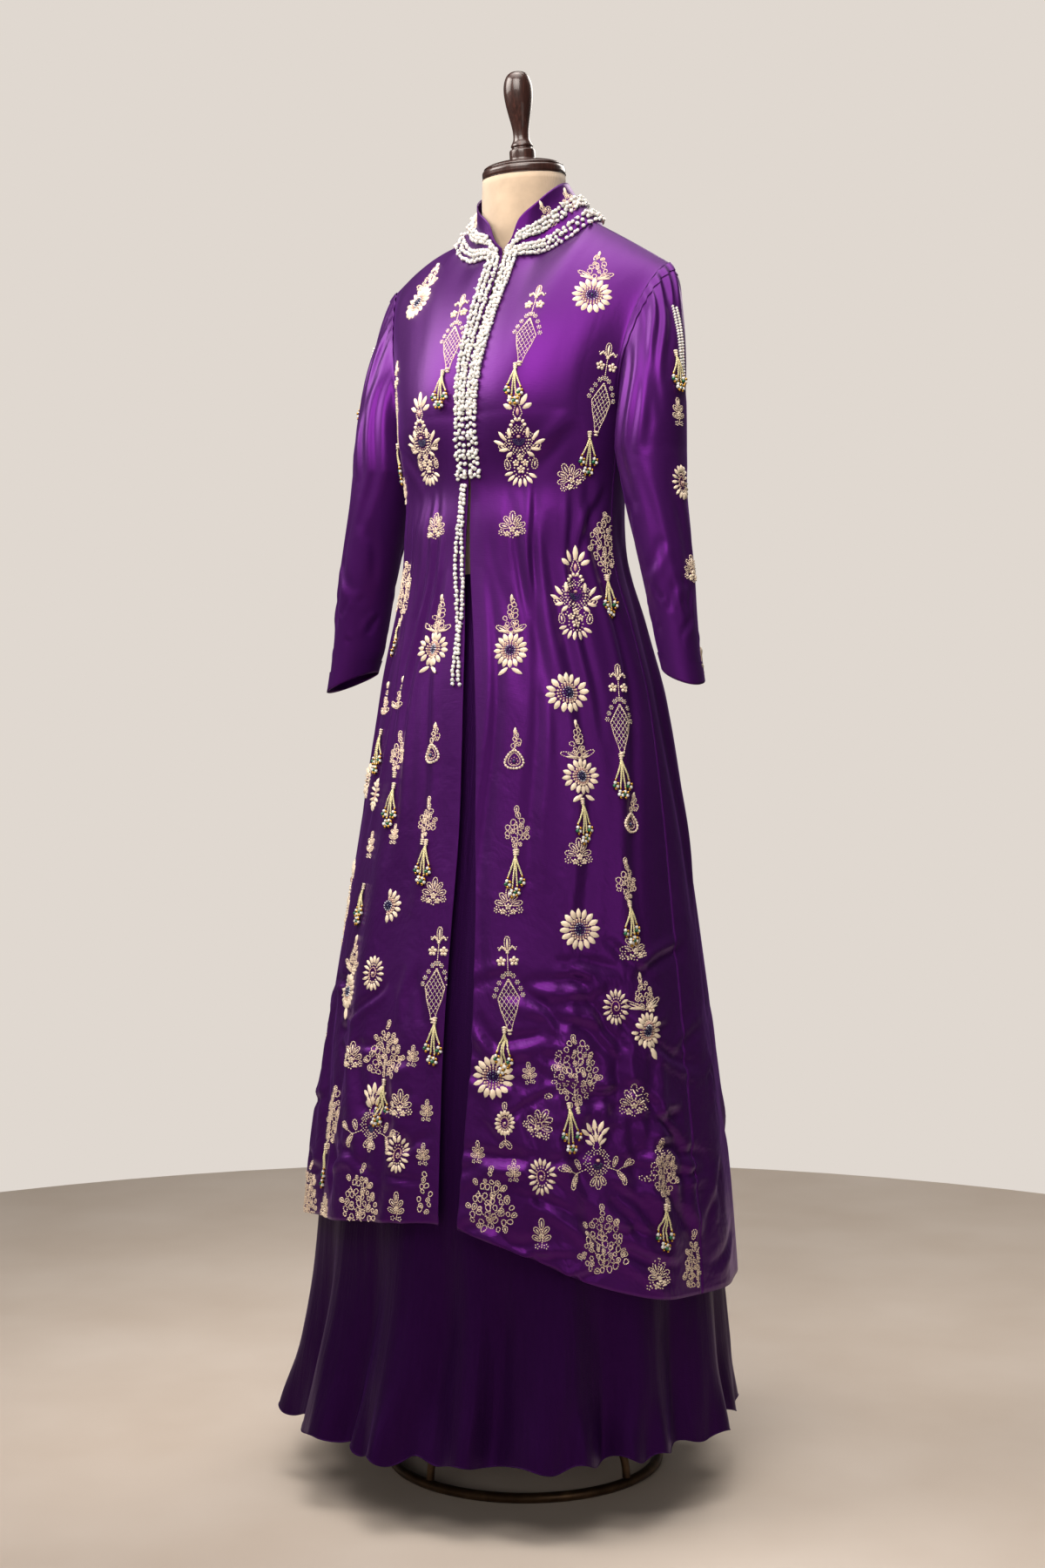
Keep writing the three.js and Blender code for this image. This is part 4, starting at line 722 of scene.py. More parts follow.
def satin(colour):
    """Silk satin, woven with long floats and calendered: soft gloss along the warp, fine slubs
    across it and small handling wrinkles."""
    material, tree, sockets, place = start_material("silk_satin_woven", colour, {
        "Roughness": 0.36, "IOR": 1.5, "Specular IOR Level": 1.0, "Anisotropic": 0.3,
        "Specular Tint": linear("#CC48FF"), "Sheen Weight": 0.15, "Sheen Roughness": 0.3,
        "Sheen Tint": linear("#A44EE0")}, "UV")
    # The warp floats run up the cloth, so the gloss spreads across it.
    add_node(tree, "ShaderNodeTangent", {"direction_type": "UV_MAP"}, to=sockets["Tangent"])
    # Threads are 0.15 mm apart; drawn as 1.6 mm slubs, long across the cloth, so that they show.
    # The wide patches are uneven dye and gloss, and the wrinkles are 20 to 40 mm across.
    slub, wide, crush = (
        add_node(tree, "ShaderNodeTexNoise", {"Scale": 1.0, **settings}, {
            "Vector": add_node(tree, "ShaderNodeMapping", {"Scale": scale}, {"Vector": place})})
        for scale, settings in (
            ((60, 620, 1), {"Detail": 3.0}), ((9, 4, 1), {"Detail": 4.0}),
            ((32, 20, 1), {"Detail": 3.0, "Roughness": 0.6, "Distortion": 0.3})))
    blend = add_node(tree, "ShaderNodeMath", {"operation": "MULTIPLY_ADD", 1: 0.35},
                     {0: slub, 2: wide})
    add_node(tree, "ShaderNodeValToRGB", shades(colour, (0.42, 0.82), (0.66, 1), (0.9, 1.2)),
             {"Fac": blend}, sockets["Base Color"])
    add_node(tree, "ShaderNodeMapRange", {"To Min": 0.31, "To Max": 0.44}, {"Value": wide},
             sockets["Roughness"])
    # The cloth near the hem is crushed, the chest and the sleeves are pressed smooth.
    height = add_node(tree, "ShaderNodeSeparateXYZ", links={0: place}).outputs["Y"]
    strength = add_node(tree, "ShaderNodeMapRange", {
        "From Min": -1.05, "From Max": -0.55, "To Min": 0.6, "To Max": 0.06}, {"Value": height})
    wrinkles = add_node(tree, "ShaderNodeBump", {"Distance": 0.006},
                        {"Height": crush, "Strength": strength})
    add_node(tree, "ShaderNodeBump", {"Strength": 0.25, "Distance": 0.0004},
             {"Height": slub, "Normal": wrinkles}, sockets["Normal"])
    return material


def georgette(colour):
    """Silk georgette, woven from hard-twisted yarn: dull, crinkled and a little see-through."""
    material, tree, sockets, place = start_material("silk_georgette_crepe", colour, {
        "Roughness": 0.5, "IOR": 1.5, "Specular IOR Level": 0.5,
        "Specular Tint": linear("#C050FF"), "Sheen Weight": 0.08, "Sheen Roughness": 0.4,
        "Sheen Tint": linear("#8C30CC")}, "UV")
    # Light comes through only where the hem hangs free, below the lining.
    height = add_node(tree, "ShaderNodeSeparateXYZ", links={0: place}).outputs["Y"]
    add_node(tree, "ShaderNodeMapRange", {
        "From Min": -1.045, "From Max": -1.01, "To Min": 0.9, "To Max": 1.0}, {"Value": height},
        sockets["Alpha"])
    # Crepe pebbles of 0.6 mm are drawn 1.5 mm across.
    fine = add_node(tree, "ShaderNodeTexNoise", {"Scale": 640.0, "Detail": 2.0}, {"Vector": place})
    stretch = add_node(tree, "ShaderNodeMapping", {"Scale": (260, 26, 1)}, {"Vector": place})
    crinkle = add_node(tree, "ShaderNodeTexNoise", {"Scale": 1.0, "Detail": 3.0},
                       {"Vector": stretch})
    add_node(tree, "ShaderNodeValToRGB", shades(colour, (0.3, 0.88), (0.7, 1.12)),
             {"Fac": crinkle}, sockets["Base Color"])
    pebbles = add_node(tree, "ShaderNodeMath", {"operation": "MULTIPLY_ADD", 1: 2.0},
                       {0: crinkle, 2: fine})
    add_node(tree, "ShaderNodeBump", {"Strength": 0.3, "Distance": 0.001}, {"Height": pebbles},
             sockets["Normal"])
    return material


def plain_weave(name, colour, roughness, threads, sheen):
    """Plain-woven cloth: warp and weft cross at an even spacing, with uneven thread colour."""
    material, tree, sockets, place = start_material(name, colour, {
        "Roughness": roughness, "IOR": 1.5, "Specular IOR Level": 0.3,
        "Sheen Weight": sheen, "Sheen Roughness": 0.6})
    warp, weft = (
        add_node(tree, "ShaderNodeTexWave", {
            "Scale": threads, "Distortion": 2.0, "Detail": 2.0, "bands_direction": direction},
            {"Vector": place}).outputs["Fac"]
        for direction in "XZ")
    cross = add_node(tree, "ShaderNodeMath", {"operation": "ADD"}, {0: warp, 1: weft})
    patch = add_node(tree, "ShaderNodeTexNoise", {"Scale": 45.0, "Detail": 5.0}, {"Vector": place})
    shift = add_node(tree, "ShaderNodeMath", {"operation": "MULTIPLY_ADD", 1: 0.16},
                     {0: cross, 2: patch})
    add_node(tree, "ShaderNodeValToRGB", shades(colour, (0.45, 0.86), (0.85, 1.1)),
             {"Fac": shift}, sockets["Base Color"])
    add_node(tree, "ShaderNodeBump", {"Strength": 0.35, "Distance": 0.0005}, {"Height": cross},
             sockets["Normal"])
    return material


def lacquered_wood(colour):
    """Turned hardwood, stained dark and lacquered: faint grain under a clear gloss."""
    material, tree, sockets, place = start_material("turned_wood_lacquered", colour, {
        "Roughness": 0.34, "IOR": 1.5, "Coat Weight": 0.8, "Coat Roughness": 0.08})
    # Grain lines about 2 mm apart run up the turning.
    stretch = add_node(tree, "ShaderNodeMapping", {"Scale": (420, 420, 30)}, {"Vector": place})
    grain = add_node(tree, "ShaderNodeTexNoise", {"Scale": 1.0, "Detail": 5.0, "Distortion": 0.8},
                     {"Vector": stretch})
    add_node(tree, "ShaderNodeValToRGB", shades(colour, (0.35, 0.55), (0.6, 1), (0.75, 1.9)),
             {"Fac": grain}, sockets["Base Color"])
    add_node(tree, "ShaderNodeBump", {"Strength": 0.1, "Distance": 0.0004}, {"Height": grain},
             sockets["Normal"])
    return material


def bronzed_steel(colour):
    """Steel tube with antique bronze lacquer, rubbed lighter in places."""
    material, tree, sockets, place = start_material("steel_tube_antique_bronze", colour, {
        "Metallic": 0.85, "Roughness": 0.36})
    rub = add_node(tree, "ShaderNodeTexNoise", {"Scale": 38.0, "Detail": 6.0}, {"Vector": place})
    add_node(tree, "ShaderNodeValToRGB", shades(colour, (0.3, 0.6), (0.55, 1), (0.75, 1.8)),
             {"Fac": rub}, sockets["Base Color"])
    add_node(tree, "ShaderNodeMapRange", {"To Min": 0.25, "To Max": 0.55}, {"Value": rub},
             sockets["Roughness"])
    # Brush grain of 0.5 mm in the lacquer.
    grain = add_node(tree, "ShaderNodeTexNoise", {"Scale": 900.0, "Detail": 1.0},
                     {"Vector": place})
    add_node(tree, "ShaderNodeBump", {"Strength": 0.12, "Distance": 0.0003}, {"Height": grain},
             sockets["Normal"])
    return material


def beads_of(name, colour, settings):
    """Beads or couched coils: each one a little lighter or darker, with fine uneven skin."""
    material, tree, sockets, place = start_material(name, colour, settings)
    island = add_node(tree, "ShaderNodeNewGeometry").outputs["Random Per Island"]
    add_node(tree, "ShaderNodeValToRGB", shades(colour, (0.0, 0.86), (1.0, 1.14)),
             {"Fac": island}, sockets["Base Color"])
    skin = add_node(tree, "ShaderNodeTexNoise", {"Scale": 700.0, "Detail": 2.0}, {"Vector": place})
    add_node(tree, "ShaderNodeBump", {"Strength": 0.25, "Distance": 0.0004}, {"Height": skin},
             sockets["Normal"])
    return material


FINISHES = {
    # Cut glass-like rice pearls with a clear nacre coat: white with a soft gloss.
    "pearl": ("bead_pearl_nacre", "#DCD8D3", {"Roughness": 0.24, "IOR": 1.53, "Coat Weight": 0.5,
              "Coat Roughness": 0.12, "Subsurface Weight": 0.08}),
    # Padded petals wrapped in ivory silk floss: satin stitch, dull gloss.
    "ivory": ("silk_floss_ivory_padded", "#DFCFB8", {"Roughness": 0.48, "IOR": 1.5,
              "Sheen Weight": 0.3, "Sheen Roughness": 0.4}),
    # Fine coiled wire (dabka) in pale rose gold, couched: many small glints.
    "coil": ("coiled_wire_rose_gold", "#DDC8B2", {"Metallic": 0.15, "Roughness": 0.4}),
    # The same coil in a pinker gold, for the hearts of the flowers.
    "rose": ("coiled_wire_pink_gold", "#C9A39A", {"Metallic": 0.3, "Roughness": 0.4}),
    # Silver-lined glass seed beads.
    "silver": ("glass_seed_silver_lined", "#C9CDD6", {"Metallic": 0.9, "Roughness": 0.2}),
    # Navy glass stones.
    "navy": ("glass_stone_navy", "#1B1C4A", {"Roughness": 0.1, "IOR": 1.52, "Coat Weight": 0.6,
             "Coat Roughness": 0.05}),
    # Emerald glass beads on the tassels.
    "emerald": ("glass_bead_emerald", "#0B5B38", {"Roughness": 0.12, "IOR": 1.52,
                "Coat Weight": 0.6, "Coat Roughness": 0.05}),
    # Small gilt metal beads.
    "gilt": ("brass_bead_gilt", "#C79A45", {"Metallic": 1.0, "Roughness": 0.25}),
    # Twisted metallic cord, pale green gold.
    "cord": ("zari_cord_pale_gold", "#E6DDAE", {"Metallic": 0.15, "Roughness": 0.45}),
}
FINISH_ORDER = list(FINISHES)


def finish_of(name):
    """The material of one kind of bead, made when it is first asked for."""
    label, code, settings = FINISHES[name]
    return bpy.data.materials.get(label) or beads_of(label, linear(code), settings)


# ------------------------------------------------------------------ beadwork drawn flat
class Motif:
    """Beads of one ornament, laid out flat in millimetres before they are sewn on.
    Each row is across, up, turn, length, width, height, finish and whether it is pointed."""

    def __init__(self):
        self.rows = []

    def bead(self, u, v, turn, long, wide, high, finish, pointed=False):
        self.rows.append((u, v, turn, long, wide, high, FINISH_ORDER.index(finish), pointed))

    def ring(self, at, count, radius, long, wide, high, finish, squash=1.0, arc=(0, 360),
             pointed=False):
        """Beads round a centre, each pointing away from it."""
        whole = arc[1] - arc[0] >= 360
        for turn in np.linspace(arc[0], arc[1], count, endpoint=not whole):
            c, s = cos_sin(turn)
            self.bead(at[0] + radius * squash * c, at[1] + radius * s, turn, long, wide, high,
                      finish, pointed)

    def line(self, points, step, wide, high, finish):
        """Short beads end to end along a line."""
        points = np.asarray(points, float)
        lengths = np.r_[0, np.cumsum(np.hypot(*np.diff(points, axis=0).T))]
        count = max(2, int(round(lengths[-1] / step)))
        at = (np.arange(count) + 0.5) * lengths[-1] / count
        ends = [np.interp(np.clip(at + shift, 0, lengths[-1]), lengths, points[:, axis])
                for shift in (-0.5, 0.5) for axis in (0, 1)]
        turns = np.degrees(np.arctan2(ends[3] - ends[1], ends[2] - ends[0]))
        for u0, v0, u1, v1, turn in zip(*ends, turns):
            self.bead((u0 + u1) / 2, (v0 + v1) / 2, turn, step * 1.15, wide, high, finish)

    def grow(self, by):
        """Spreads the whole ornament about its middle, its beads a little less."""
        fine = by**0.6
        self.rows = [(u * by, v * by, turn, long * fine, wide * fine, high, *rest)
                     for u, v, turn, long, wide, high, *rest in self.rows]

    def petal(self, u, v, turn, long=12.0, wide=5.0, high=2.6):
        """A padded, pointed petal from its foot."""
        c, s = cos_sin(turn)
        self.bead(u + long / 2 * c, v + long / 2 * s, turn, long, wide, high, "ivory", True)

    def leaf(self, u, v, turn, long=10.0, wide=5.0, vein=True):
        """A leaf from its foot: a coiled outline round an ivory vein."""
        c, s = cos_sin(turn)
        t = np.linspace(0, 2 * np.pi, 17)
        out = long / 2 * (1 - np.cos(t))
        side = wide / 2 * np.sin(t) * (1 - 0.3 * np.cos(t))
        self.line(np.stack([u + out * c - side * s, v + out * s + side * c], -1), 2.2, 1.6, 1.7,
                  "coil")
        if vein:
            self.bead(u + long * 0.5 * c, v + long * 0.5 * s, turn, long * 0.6, wide * 0.34, 1.7,
                      "ivory", True)

    def flower(self, u, v, radius=5.0):
        """A small round flower of five padded petals."""
        self.ring((u, v), 5, radius * 0.58, radius * 0.8, radius * 0.72, 2.2, "ivory",
                  arc=(90, 450))
        self.bead(u, v, 0, radius * 0.45, radius * 0.45, 2.8, "coil")

    def leaves(self, seed, foot, tall, outline, size=6.6, gap=8.0):
        """Small curled leaves that fill an outline, all growing from one foot.
        The outline gives half of the width at shares of the height."""
        luck = np.random.default_rng(seed)
        shares, halves = np.array(outline, float).T
        rows = int(round(tall / (gap * 0.84)))
        for k in range(rows):
            v = (k + 0.5) / rows
            half = np.interp(v, shares, halves)
            count = max(1, int(round(2 * half / gap)))
            for j in range(count):
                u = (j - (count - 1) / 2 + 0.25 * (k % 2) * (count > 1)) * 2 * half / count
                u, w = u + luck.uniform(-2, 2), v * tall + luck.uniform(-2, 2)
                turn = math.degrees(math.atan2(w + tall * 0.25, u)) + luck.uniform(-60, 60)
                long = size * luck.uniform(0.72, 1.2)
                c, s = cos_sin(turn)
                self.leaf(foot[0] + u - c * long / 2, foot[1] + w - s * long / 2, turn, long,
                          long * 0.74, luck.random() < 0.3)
                if luck.random() < 0.22:
                    self.bead(foot[0] + u + luck.uniform(-3, 3), foot[1] + w - 3, 0, 1.8, 1.8,
                              1.9, "silver")


def sunflower(m, u=0, v=0, radius=22.0, squash=1.0, cut=(0, 360)):
    """A round flower of pointed ivory petals round a navy stone."""
    whole = cut[1] - cut[0] >= 360
    count = 16 if whole else int(17 * (cut[1] - cut[0]) / 360)
    m.ring((u, v), count, radius * 0.74, radius * 0.52, radius * 0.3, 3.2, "ivory", squash, cut,
           True)
    m.ring((u, v), int(count * 1.3), radius * 0.47, 3.4, 2.6, 2.2, "coil", squash, cut)
    m.ring((u, v), count, radius * 0.37, 3.0, 2.6, 2.0, "rose", squash, cut)
    m.ring((u, v), 12, radius * 0.27, 2.4, 2.6, 2.6, "silver", squash)
    m.ring((u, v), 8, radius * 0.16, 2.6, 2.4, 3.2, "navy", squash)
    m.bead(u, v, 0, radius * 0.2 * squash, radius * 0.2, 3.8, "navy")


def spray(m, u=0, v=0, tall=46.0, spread=11.0, seed=1):
    """A leafy spray that narrows to a bud, over two long leaves."""
    for side in (-1, 1):
        m.leaf(u + side, v + 1, 90 - side * 62, spread * 1.25, 5.4)
        m.petal(u + side * 2, v + 3, 90 - side * 84, spread * 0.9, 3.6, 2.0)
    m.leaves(seed, (u, v + 4), tall - 8, ((0, spread * 0.7), (0.45, spread * 0.62),
                                          (0.75, spread * 0.36), (1, 0.5)), 6.6, 7.6)
    m.petal(u, v + tall - 8, 90, 9, 4.2)


def fleur(m, u, v, tall=17.0):
    """Three petals, the outer two curling down."""
    m.leaf(u, v, 90, tall, tall * 0.36)
    m.petal(u, v + 2, 90, tall * 0.8, tall * 0.16, 2.0)
    for side in (-1, 1):
        m.line([(u, v), (u + side * tall * 0.34, v + tall * 0.36),
                (u + side * tall * 0.56, v + tall * 0.1)], 2.4, 3.0, 2.0, "ivory")
        m.bead(u + side * tall * 0.6, v + tall * 0.3, 60, 2.4, 1.6, 1.6, "coil")
    m.bead(u, v - 1, 0, 5, 2.2, 2.2, "ivory")


def spray_and_sun(m):
    """A leafy spray over a large round flower."""
    spray(m, 0, 11, 46, 19, 2)
    sunflower(m, 0, -11, 25)


def spray_sun_leaves(m):
    """A leafy spray over a round flower with two long petals below."""
    spray(m, 0, 8, 48, 16, 5)
    sunflower(m, 0, -12, 22)
    for side in (-1, 1):
        m.petal(side * 1.5, -34, 90 - side * 118, 16, 6, 2.6)


def lattice_pear(m, wide=15.0):
    """A kite of crossed threads under an arch of curls, hung from a three-petalled top."""
    fleur(m, 0, 48, 18)
    m.line([(0, 48), (0, 26)], 2.4, 1.5, 1.4, "coil")
    for side in (-1, 1):
        m.flower(side * 7.5, 37, 6.2)
    arch = [(-wide * 1.1, -2), (-wide * 0.86, 9), (-wide * 0.4, 20), (0, 24), (wide * 0.4, 20),
            (wide * 0.86, 9), (wide * 1.1, -2)]
    at = np.linspace(0, 6, 10)
    for k, (u, v) in enumerate(zip(np.interp(at, range(7), [p[0] for p in arch]),
                                   np.interp(at, range(7), [p[1] for p in arch]))):
        m.ring((u, v), 6, 2.2, 2.2, 1.7, 2.0, "ivory" if k % 2 else "coil")
        m.bead(u, v, 0, 2.2, 2.0, 2.4, "silver")
    m.line([(-wide * 0.84, -6), (0, 17), (wide * 0.84, -6)], 2.4, 1.9, 2.2, "ivory")
    edge_v = np.array([-42.0, -34.0, -20.0, -6.0, 17.0])
    edge_u = np.array([2.4, 4.4, 0.62 * wide, 0.84 * wide, 0.0])
    for side in (-1, 1):
        m.line(np.stack([side * edge_u[:4], edge_v[:4]], -1), 2.4, 1.5, 1.6, "coil")
        for start in np.arange(-60, 30, 8.0):
            t = np.linspace(0, 60, 61)
            u, v = side * (t * 0.68 - 18), start + t
            keep = np.abs(u) <= np.interp(v, edge_v, edge_u, left=0, right=0)
            if keep.sum() > 3:
                m.line(np.stack([u[keep], v[keep]], -1), 3.4, 0.8, 1.0, "ivory")
    m.bead(0, -43, 0, 8, 3.4, 3.4, "ivory")
    m.bead(0, -46.5, 0, 6, 2.8, 3.0, "ivory")


def medallion(m, v, radius, step):
    """Curls of ivory and coil in turn, set round a centre."""
    for turn in range(0, 360, step):
        c, s = cos_sin(turn)
        m.ring((c * radius, v + s * radius), 4, 1.7, 2.0, 1.6, 2.0,
               "ivory" if turn % (2 * step) else "coil")


def jewel(m):
    """A medallion with a crown of petals, side sprays and a pointed flower below."""
    for turn, long in ((90, 18), (60, 15), (120, 15), (28, 12), (152, 12)):
        c, s = cos_sin(turn)
        m.petal(c * 6, 29 + s * 7, turn, long, 6.4, 3.0)
    m.line([(-5, 28), (0, 42), (5, 28), (0, 20), (-5, 28)], 2.4, 1.7, 2.0, "coil")
    m.bead(0, 30, 90, 9, 4.0, 2.6, "rose", True)
    m.ring((0, 15), 6, 7.5, 5.0, 4.0, 2.4, "ivory", arc=(10, 170))
    medallion(m, 0, 14.5, 24)
    m.ring((0, 0), 20, 10.8, 2.6, 2.0, 2.1, "ivory")
    m.ring((0, 0), 14, 8.2, 1.8, 1.7, 1.7, "rose")
    for radius in (2.0, 4.0, 6.0):
        m.ring((0, 1), int(radius * 2.3), radius, 1.9, 1.9, 2.4, "navy", arc=(180, 360))
    m.bead(0, 4, 0, 5, 4, 3.0, "rose")
    for side in (-1, 1):
        for turn, long, foot in ((84, 12, 2), (52, 14, -1), (22, 14, -5), (-8, 12, -9),
                                 (-36, 10, -12)):
            m.petal(side * (17 - 0.14 * abs(turn - 30)), foot, 90 - side * (90 - turn), long, 5.0,
                    2.6)
        m.leaf(side * 15, -9, 90 - side * 60, 9, 6)
        m.leaf(side * 16, -20, 90 - side * 190, 11, 6)
        m.ring((side * 12, -19), 6, 2.8, 2.2, 1.8, 2.0, "coil")
        m.flower(side * 5.2, -24, 4.0)
    m.flower(0, -18, 4.4)
    for turn in range(198, 352, 22):
        c, s = cos_sin(turn)
        m.petal(c * 9, -31 + s * 8, turn, 11, 4.6, 2.6)
    m.ring((0, -31), 13, 7.6, 2.4, 1.9, 2.0, "coil")
    m.flower(0, -31, 5.0)
    m.grow(1.14)


def fan(m):
    """Three leaves over a row of small curls and flowers."""
    m.leaf(0, 2, 90, 14, 5.8)
    for side in (-1, 1):
        m.leaf(side * 1.5, 1, 90 - side * 40, 12, 5.0)
        m.leaf(side * 3, -2, 90 - side * 74, 12, 5.0)
        m.ring((side * 12, -7), 7, 3.0, 2.3, 1.9, 1.9, "coil")
        m.bead(side * 12, -7, 0, 2.4, 2.4, 2.2, "ivory")
        m.flower(side * 5.6, -9, 3.6)
    m.flower(0, -4, 4.0)
    m.ring((0, -11), 5, 2.4, 2.2, 1.8, 1.8, "coil")
    m.grow(1.12)


def drop(m):
    """A pear-shaped drop round a stone, under a leafy stem."""
    t = np.linspace(0, 2 * np.pi, 30)
    v, u = 11 * np.cos(t) - 8, 10.5 * np.sin(t) * (1 - 0.4 * np.cos(t))
    m.line(np.stack([u, v], -1), 3.6, 3.2, 2.6, "ivory")
    m.line(np.stack([u * 0.66, v * 0.7 - 2], -1), 2.2, 1.6, 1.8, "coil")
    m.ring((0, -10), 8, 4.4, 1.9, 1.9, 1.8, "rose")
    m.bead(0, -10, 0, 5.0, 5.0, 3.4, "navy")
    m.line([(0, 4), (0, 14)], 2.4, 1.5, 1.4, "coil")
    m.leaves(9, (0, 6), 22, ((0, 6), (0.5, 5.5), (1, 1)), 6.2, 7.0)
    m.petal(0, 22, 90, 9, 4)


def twigs(m, tall, reach):
    """A bent stem with a few side twigs, under the leaves."""
    m.line([(0, -tall), (1, 0), (0, tall * 0.5)], 3.0, 1.3, 1.2, "coil")
    for side, foot, out in ((-1, -0.75, 0.5), (1, -0.6, 0.6), (-1, -0.2, 0.6), (1, 0.05, 0.5)):
        m.line([(0, tall * foot), (side * reach * out * 0.6, tall * (foot + 0.22)),
                (side * reach * out, tall * (foot + 0.5))], 3.0, 1.2, 1.2, "coil")


def tie(m, v):
    """The wrapped foot of a cluster, three beads that grow smaller."""
    for k in range(3):
        m.bead(0, v - 2.6 * k, 0, 7 - 0.8 * k, 2.8, 3.4 - 0.3 * k, "ivory")


def bush(m):
    """A small tree of curled leaves with a bud at its top."""
    twigs(m, 22, 14)
    m.leaves(17, (0, -20), 42, ((0, 5), (0.25, 15), (0.6, 14), (0.85, 6), (1, 2)), 6.6, 7.8)
    m.leaf(0, 20, 90, 10, 5)
    tie(m, -23)


TREE_OUTLINE = ((0, 0.55), (0.12, 0.95), (0.35, 1), (0.6, 0.84), (0.8, 0.5), (1, 0.1))
BRANCH_OUTLINE = ((0, 0.25), (0.2, 0.7), (0.45, 1), (0.7, 0.92), (0.88, 0.62), (1, 0.3))


def cluster(m, wide=24.0, tall=34.0, seed=3, outline=TREE_OUTLINE, tied=False):
    """A ripe cluster of curled leaves with two taller shoots."""
    twigs(m, tall * 0.9, wide)
    m.leaves(seed, (0, -tall), tall * 1.9, [(at, wide * width) for at, width in outline], 6.8, 8.4)
    luck = np.random.default_rng(seed + 50)
    for side in (-1, 1):
        u, v = side * wide * luck.uniform(0.45, 0.7), tall * luck.uniform(0.1, 0.5)
        m.leaf(u, v, 90 - side * 24, 7.5, 5)
        m.leaf(side * wide * 0.9, -tall * luck.uniform(0.2, 0.6), 90 - side * 58, 7, 5)
    m.leaf(0, tall * 0.85, 90, 8.5, 5.4)
    if tied:
        tie(m, -tall - 2)


def half_cluster(m):
    """A narrow cluster, cut by the front edge."""
    m.leaves(8, (-4, -26), 50, ((0, 8), (0.4, 9), (0.8, 5), (1, 2)), 6.6, 8.0)


def oval_flower(m, wide=15.0, tall=22.0):
    """An oval flower of pointed petals round a coiled heart."""
    m.ring((0, 0), 16, tall * 0.76, tall * 0.44, 4.6, 2.8, "ivory", wide / tall * 1.05,
           pointed=True)
    m.ring((0, 0), 16, tall * 0.48, 2.6, 1.9, 2.0, "coil", wide / tall)
    t = np.linspace(0.6, 3.3 * np.pi, 26)
    m.line(np.stack([np.cos(t) * t * 0.62, np.sin(t) * t * 0.9], -1), 2.2, 1.8, 2.0, "rose")
    m.bead(0, 0, 0, 3.0, 3.0, 3.0, "ivory")


def sprig(m, scale=1.0):
    """Leaves and curls on one bent stem."""
    m.line([(0, -16 * scale), (1.5, -4), (0, 6 * scale)], 2.4, 1.4, 1.3, "coil")
    m.leaf(0, 4 * scale, 90, 13 * scale, 5.6 * scale)
    for side in (-1, 1):
        m.leaf(side, -1 * scale, 90 - side * 42, 11 * scale, 5 * scale)
        m.leaf(side, -8 * scale, 90 - side * 60, 11 * scale, 4.8 * scale)
        m.ring((side * 5 * scale, -14 * scale), 5, 2.3 * scale, 2.0, 1.7, 1.8, "ivory")
    m.flower(0, -3 * scale, 3.4 * scale)


def tree_and_sun(m):
    """A spray over a round flower with one long leaf below."""
    spray(m, -2, 9, 46, 22, 21)
    m.flower(8, 12, 6.5)
    sunflower(m, 0, -14, 22)
    m.petal(1, -33, -66, 17, 8, 2.8)


def jewel_flower(m):
    """A leafy medallion with trailing stems to either side."""
    for turn in (90, 62, 118, 34, 146):
        c, s = cos_sin(turn)
        m.petal(c * 5, 14 + s * 8, turn, 14, 5.6, 2.8)
        m.petal(c * 3, 6 + s * 6, turn, 11, 4.6, 2.6)
    m.leaf(0, 16, 90, 12, 6)
    m.line([(-4, 6), (0, 20), (4, 6)], 2.2, 1.6, 2.0, "coil")
    medallion(m, -8, 12.5, 26)
    m.ring((0, -8), 16, 8.8, 2.5, 1.9, 2.0, "coil")
    for radius in (3.2, 5.2):
        m.ring((0, -9), int(radius * 2.2), radius, 1.9, 1.9, 2.2, "navy", arc=(190, 350))
    m.bead(0, -6, 0, 5, 4, 3.0, "rose")
    for side in (-1, 1):
        m.line([(side * 12, -14), (side * 22, -18), (side * 34, -13)], 2.6, 1.3, 1.3, "coil")
        for u, v, turn in ((18, -14, 70), (22, -18, -60), (30, -15, 40), (27, -22, -80)):
            m.leaf(side * u, v, 90 - side * (90 - turn), 11, 4.6)
        m.leaf(side * 33, -13, 90 - side * 74, 10, 4.4)
        m.leaf(side * 3, -22, -90 + side * 26, 10, 5)
    m.leaf(0, -22, -90, 13, 6)
    m.grow(1.14)


def flower_and_leaf(m):
    """A small oval flower over two leaves."""
    oval_flower(m, 11, 15)
    m.line([(0, -14), (1, -24)], 2.4, 1.4, 1.3, "coil")
    m.leaf(0, -19, -50, 11, 5)
    m.leaf(0, -19, -130, 9, 4)
    m.leaf(0, 13, 90, 10, 5)


def bead_strip(m):
    """Two rows of pearls down the outside of a sleeve."""
    for k in range(26):
        m.bead(-2.2, 46 - k * 3.7, 20, 4.0, 3.4, 3.4, "pearl")
        m.bead(2.4, 44 - k * 3.7, -25, 4.0, 3.4, 3.4, "pearl")


def leaf_corner(m):
    """A small branch of pointed leaves."""
    m.leaves(41, (0, -14), 30, ((0, 6), (0.4, 9), (0.8, 5), (1, 2)), 6.6, 7.0)
    m.petal(0, 12, 90, 11, 4.6)
    for side in (-1, 1):
        m.petal(side * 4, -4, 90 - side * 56, 11, 4.4)


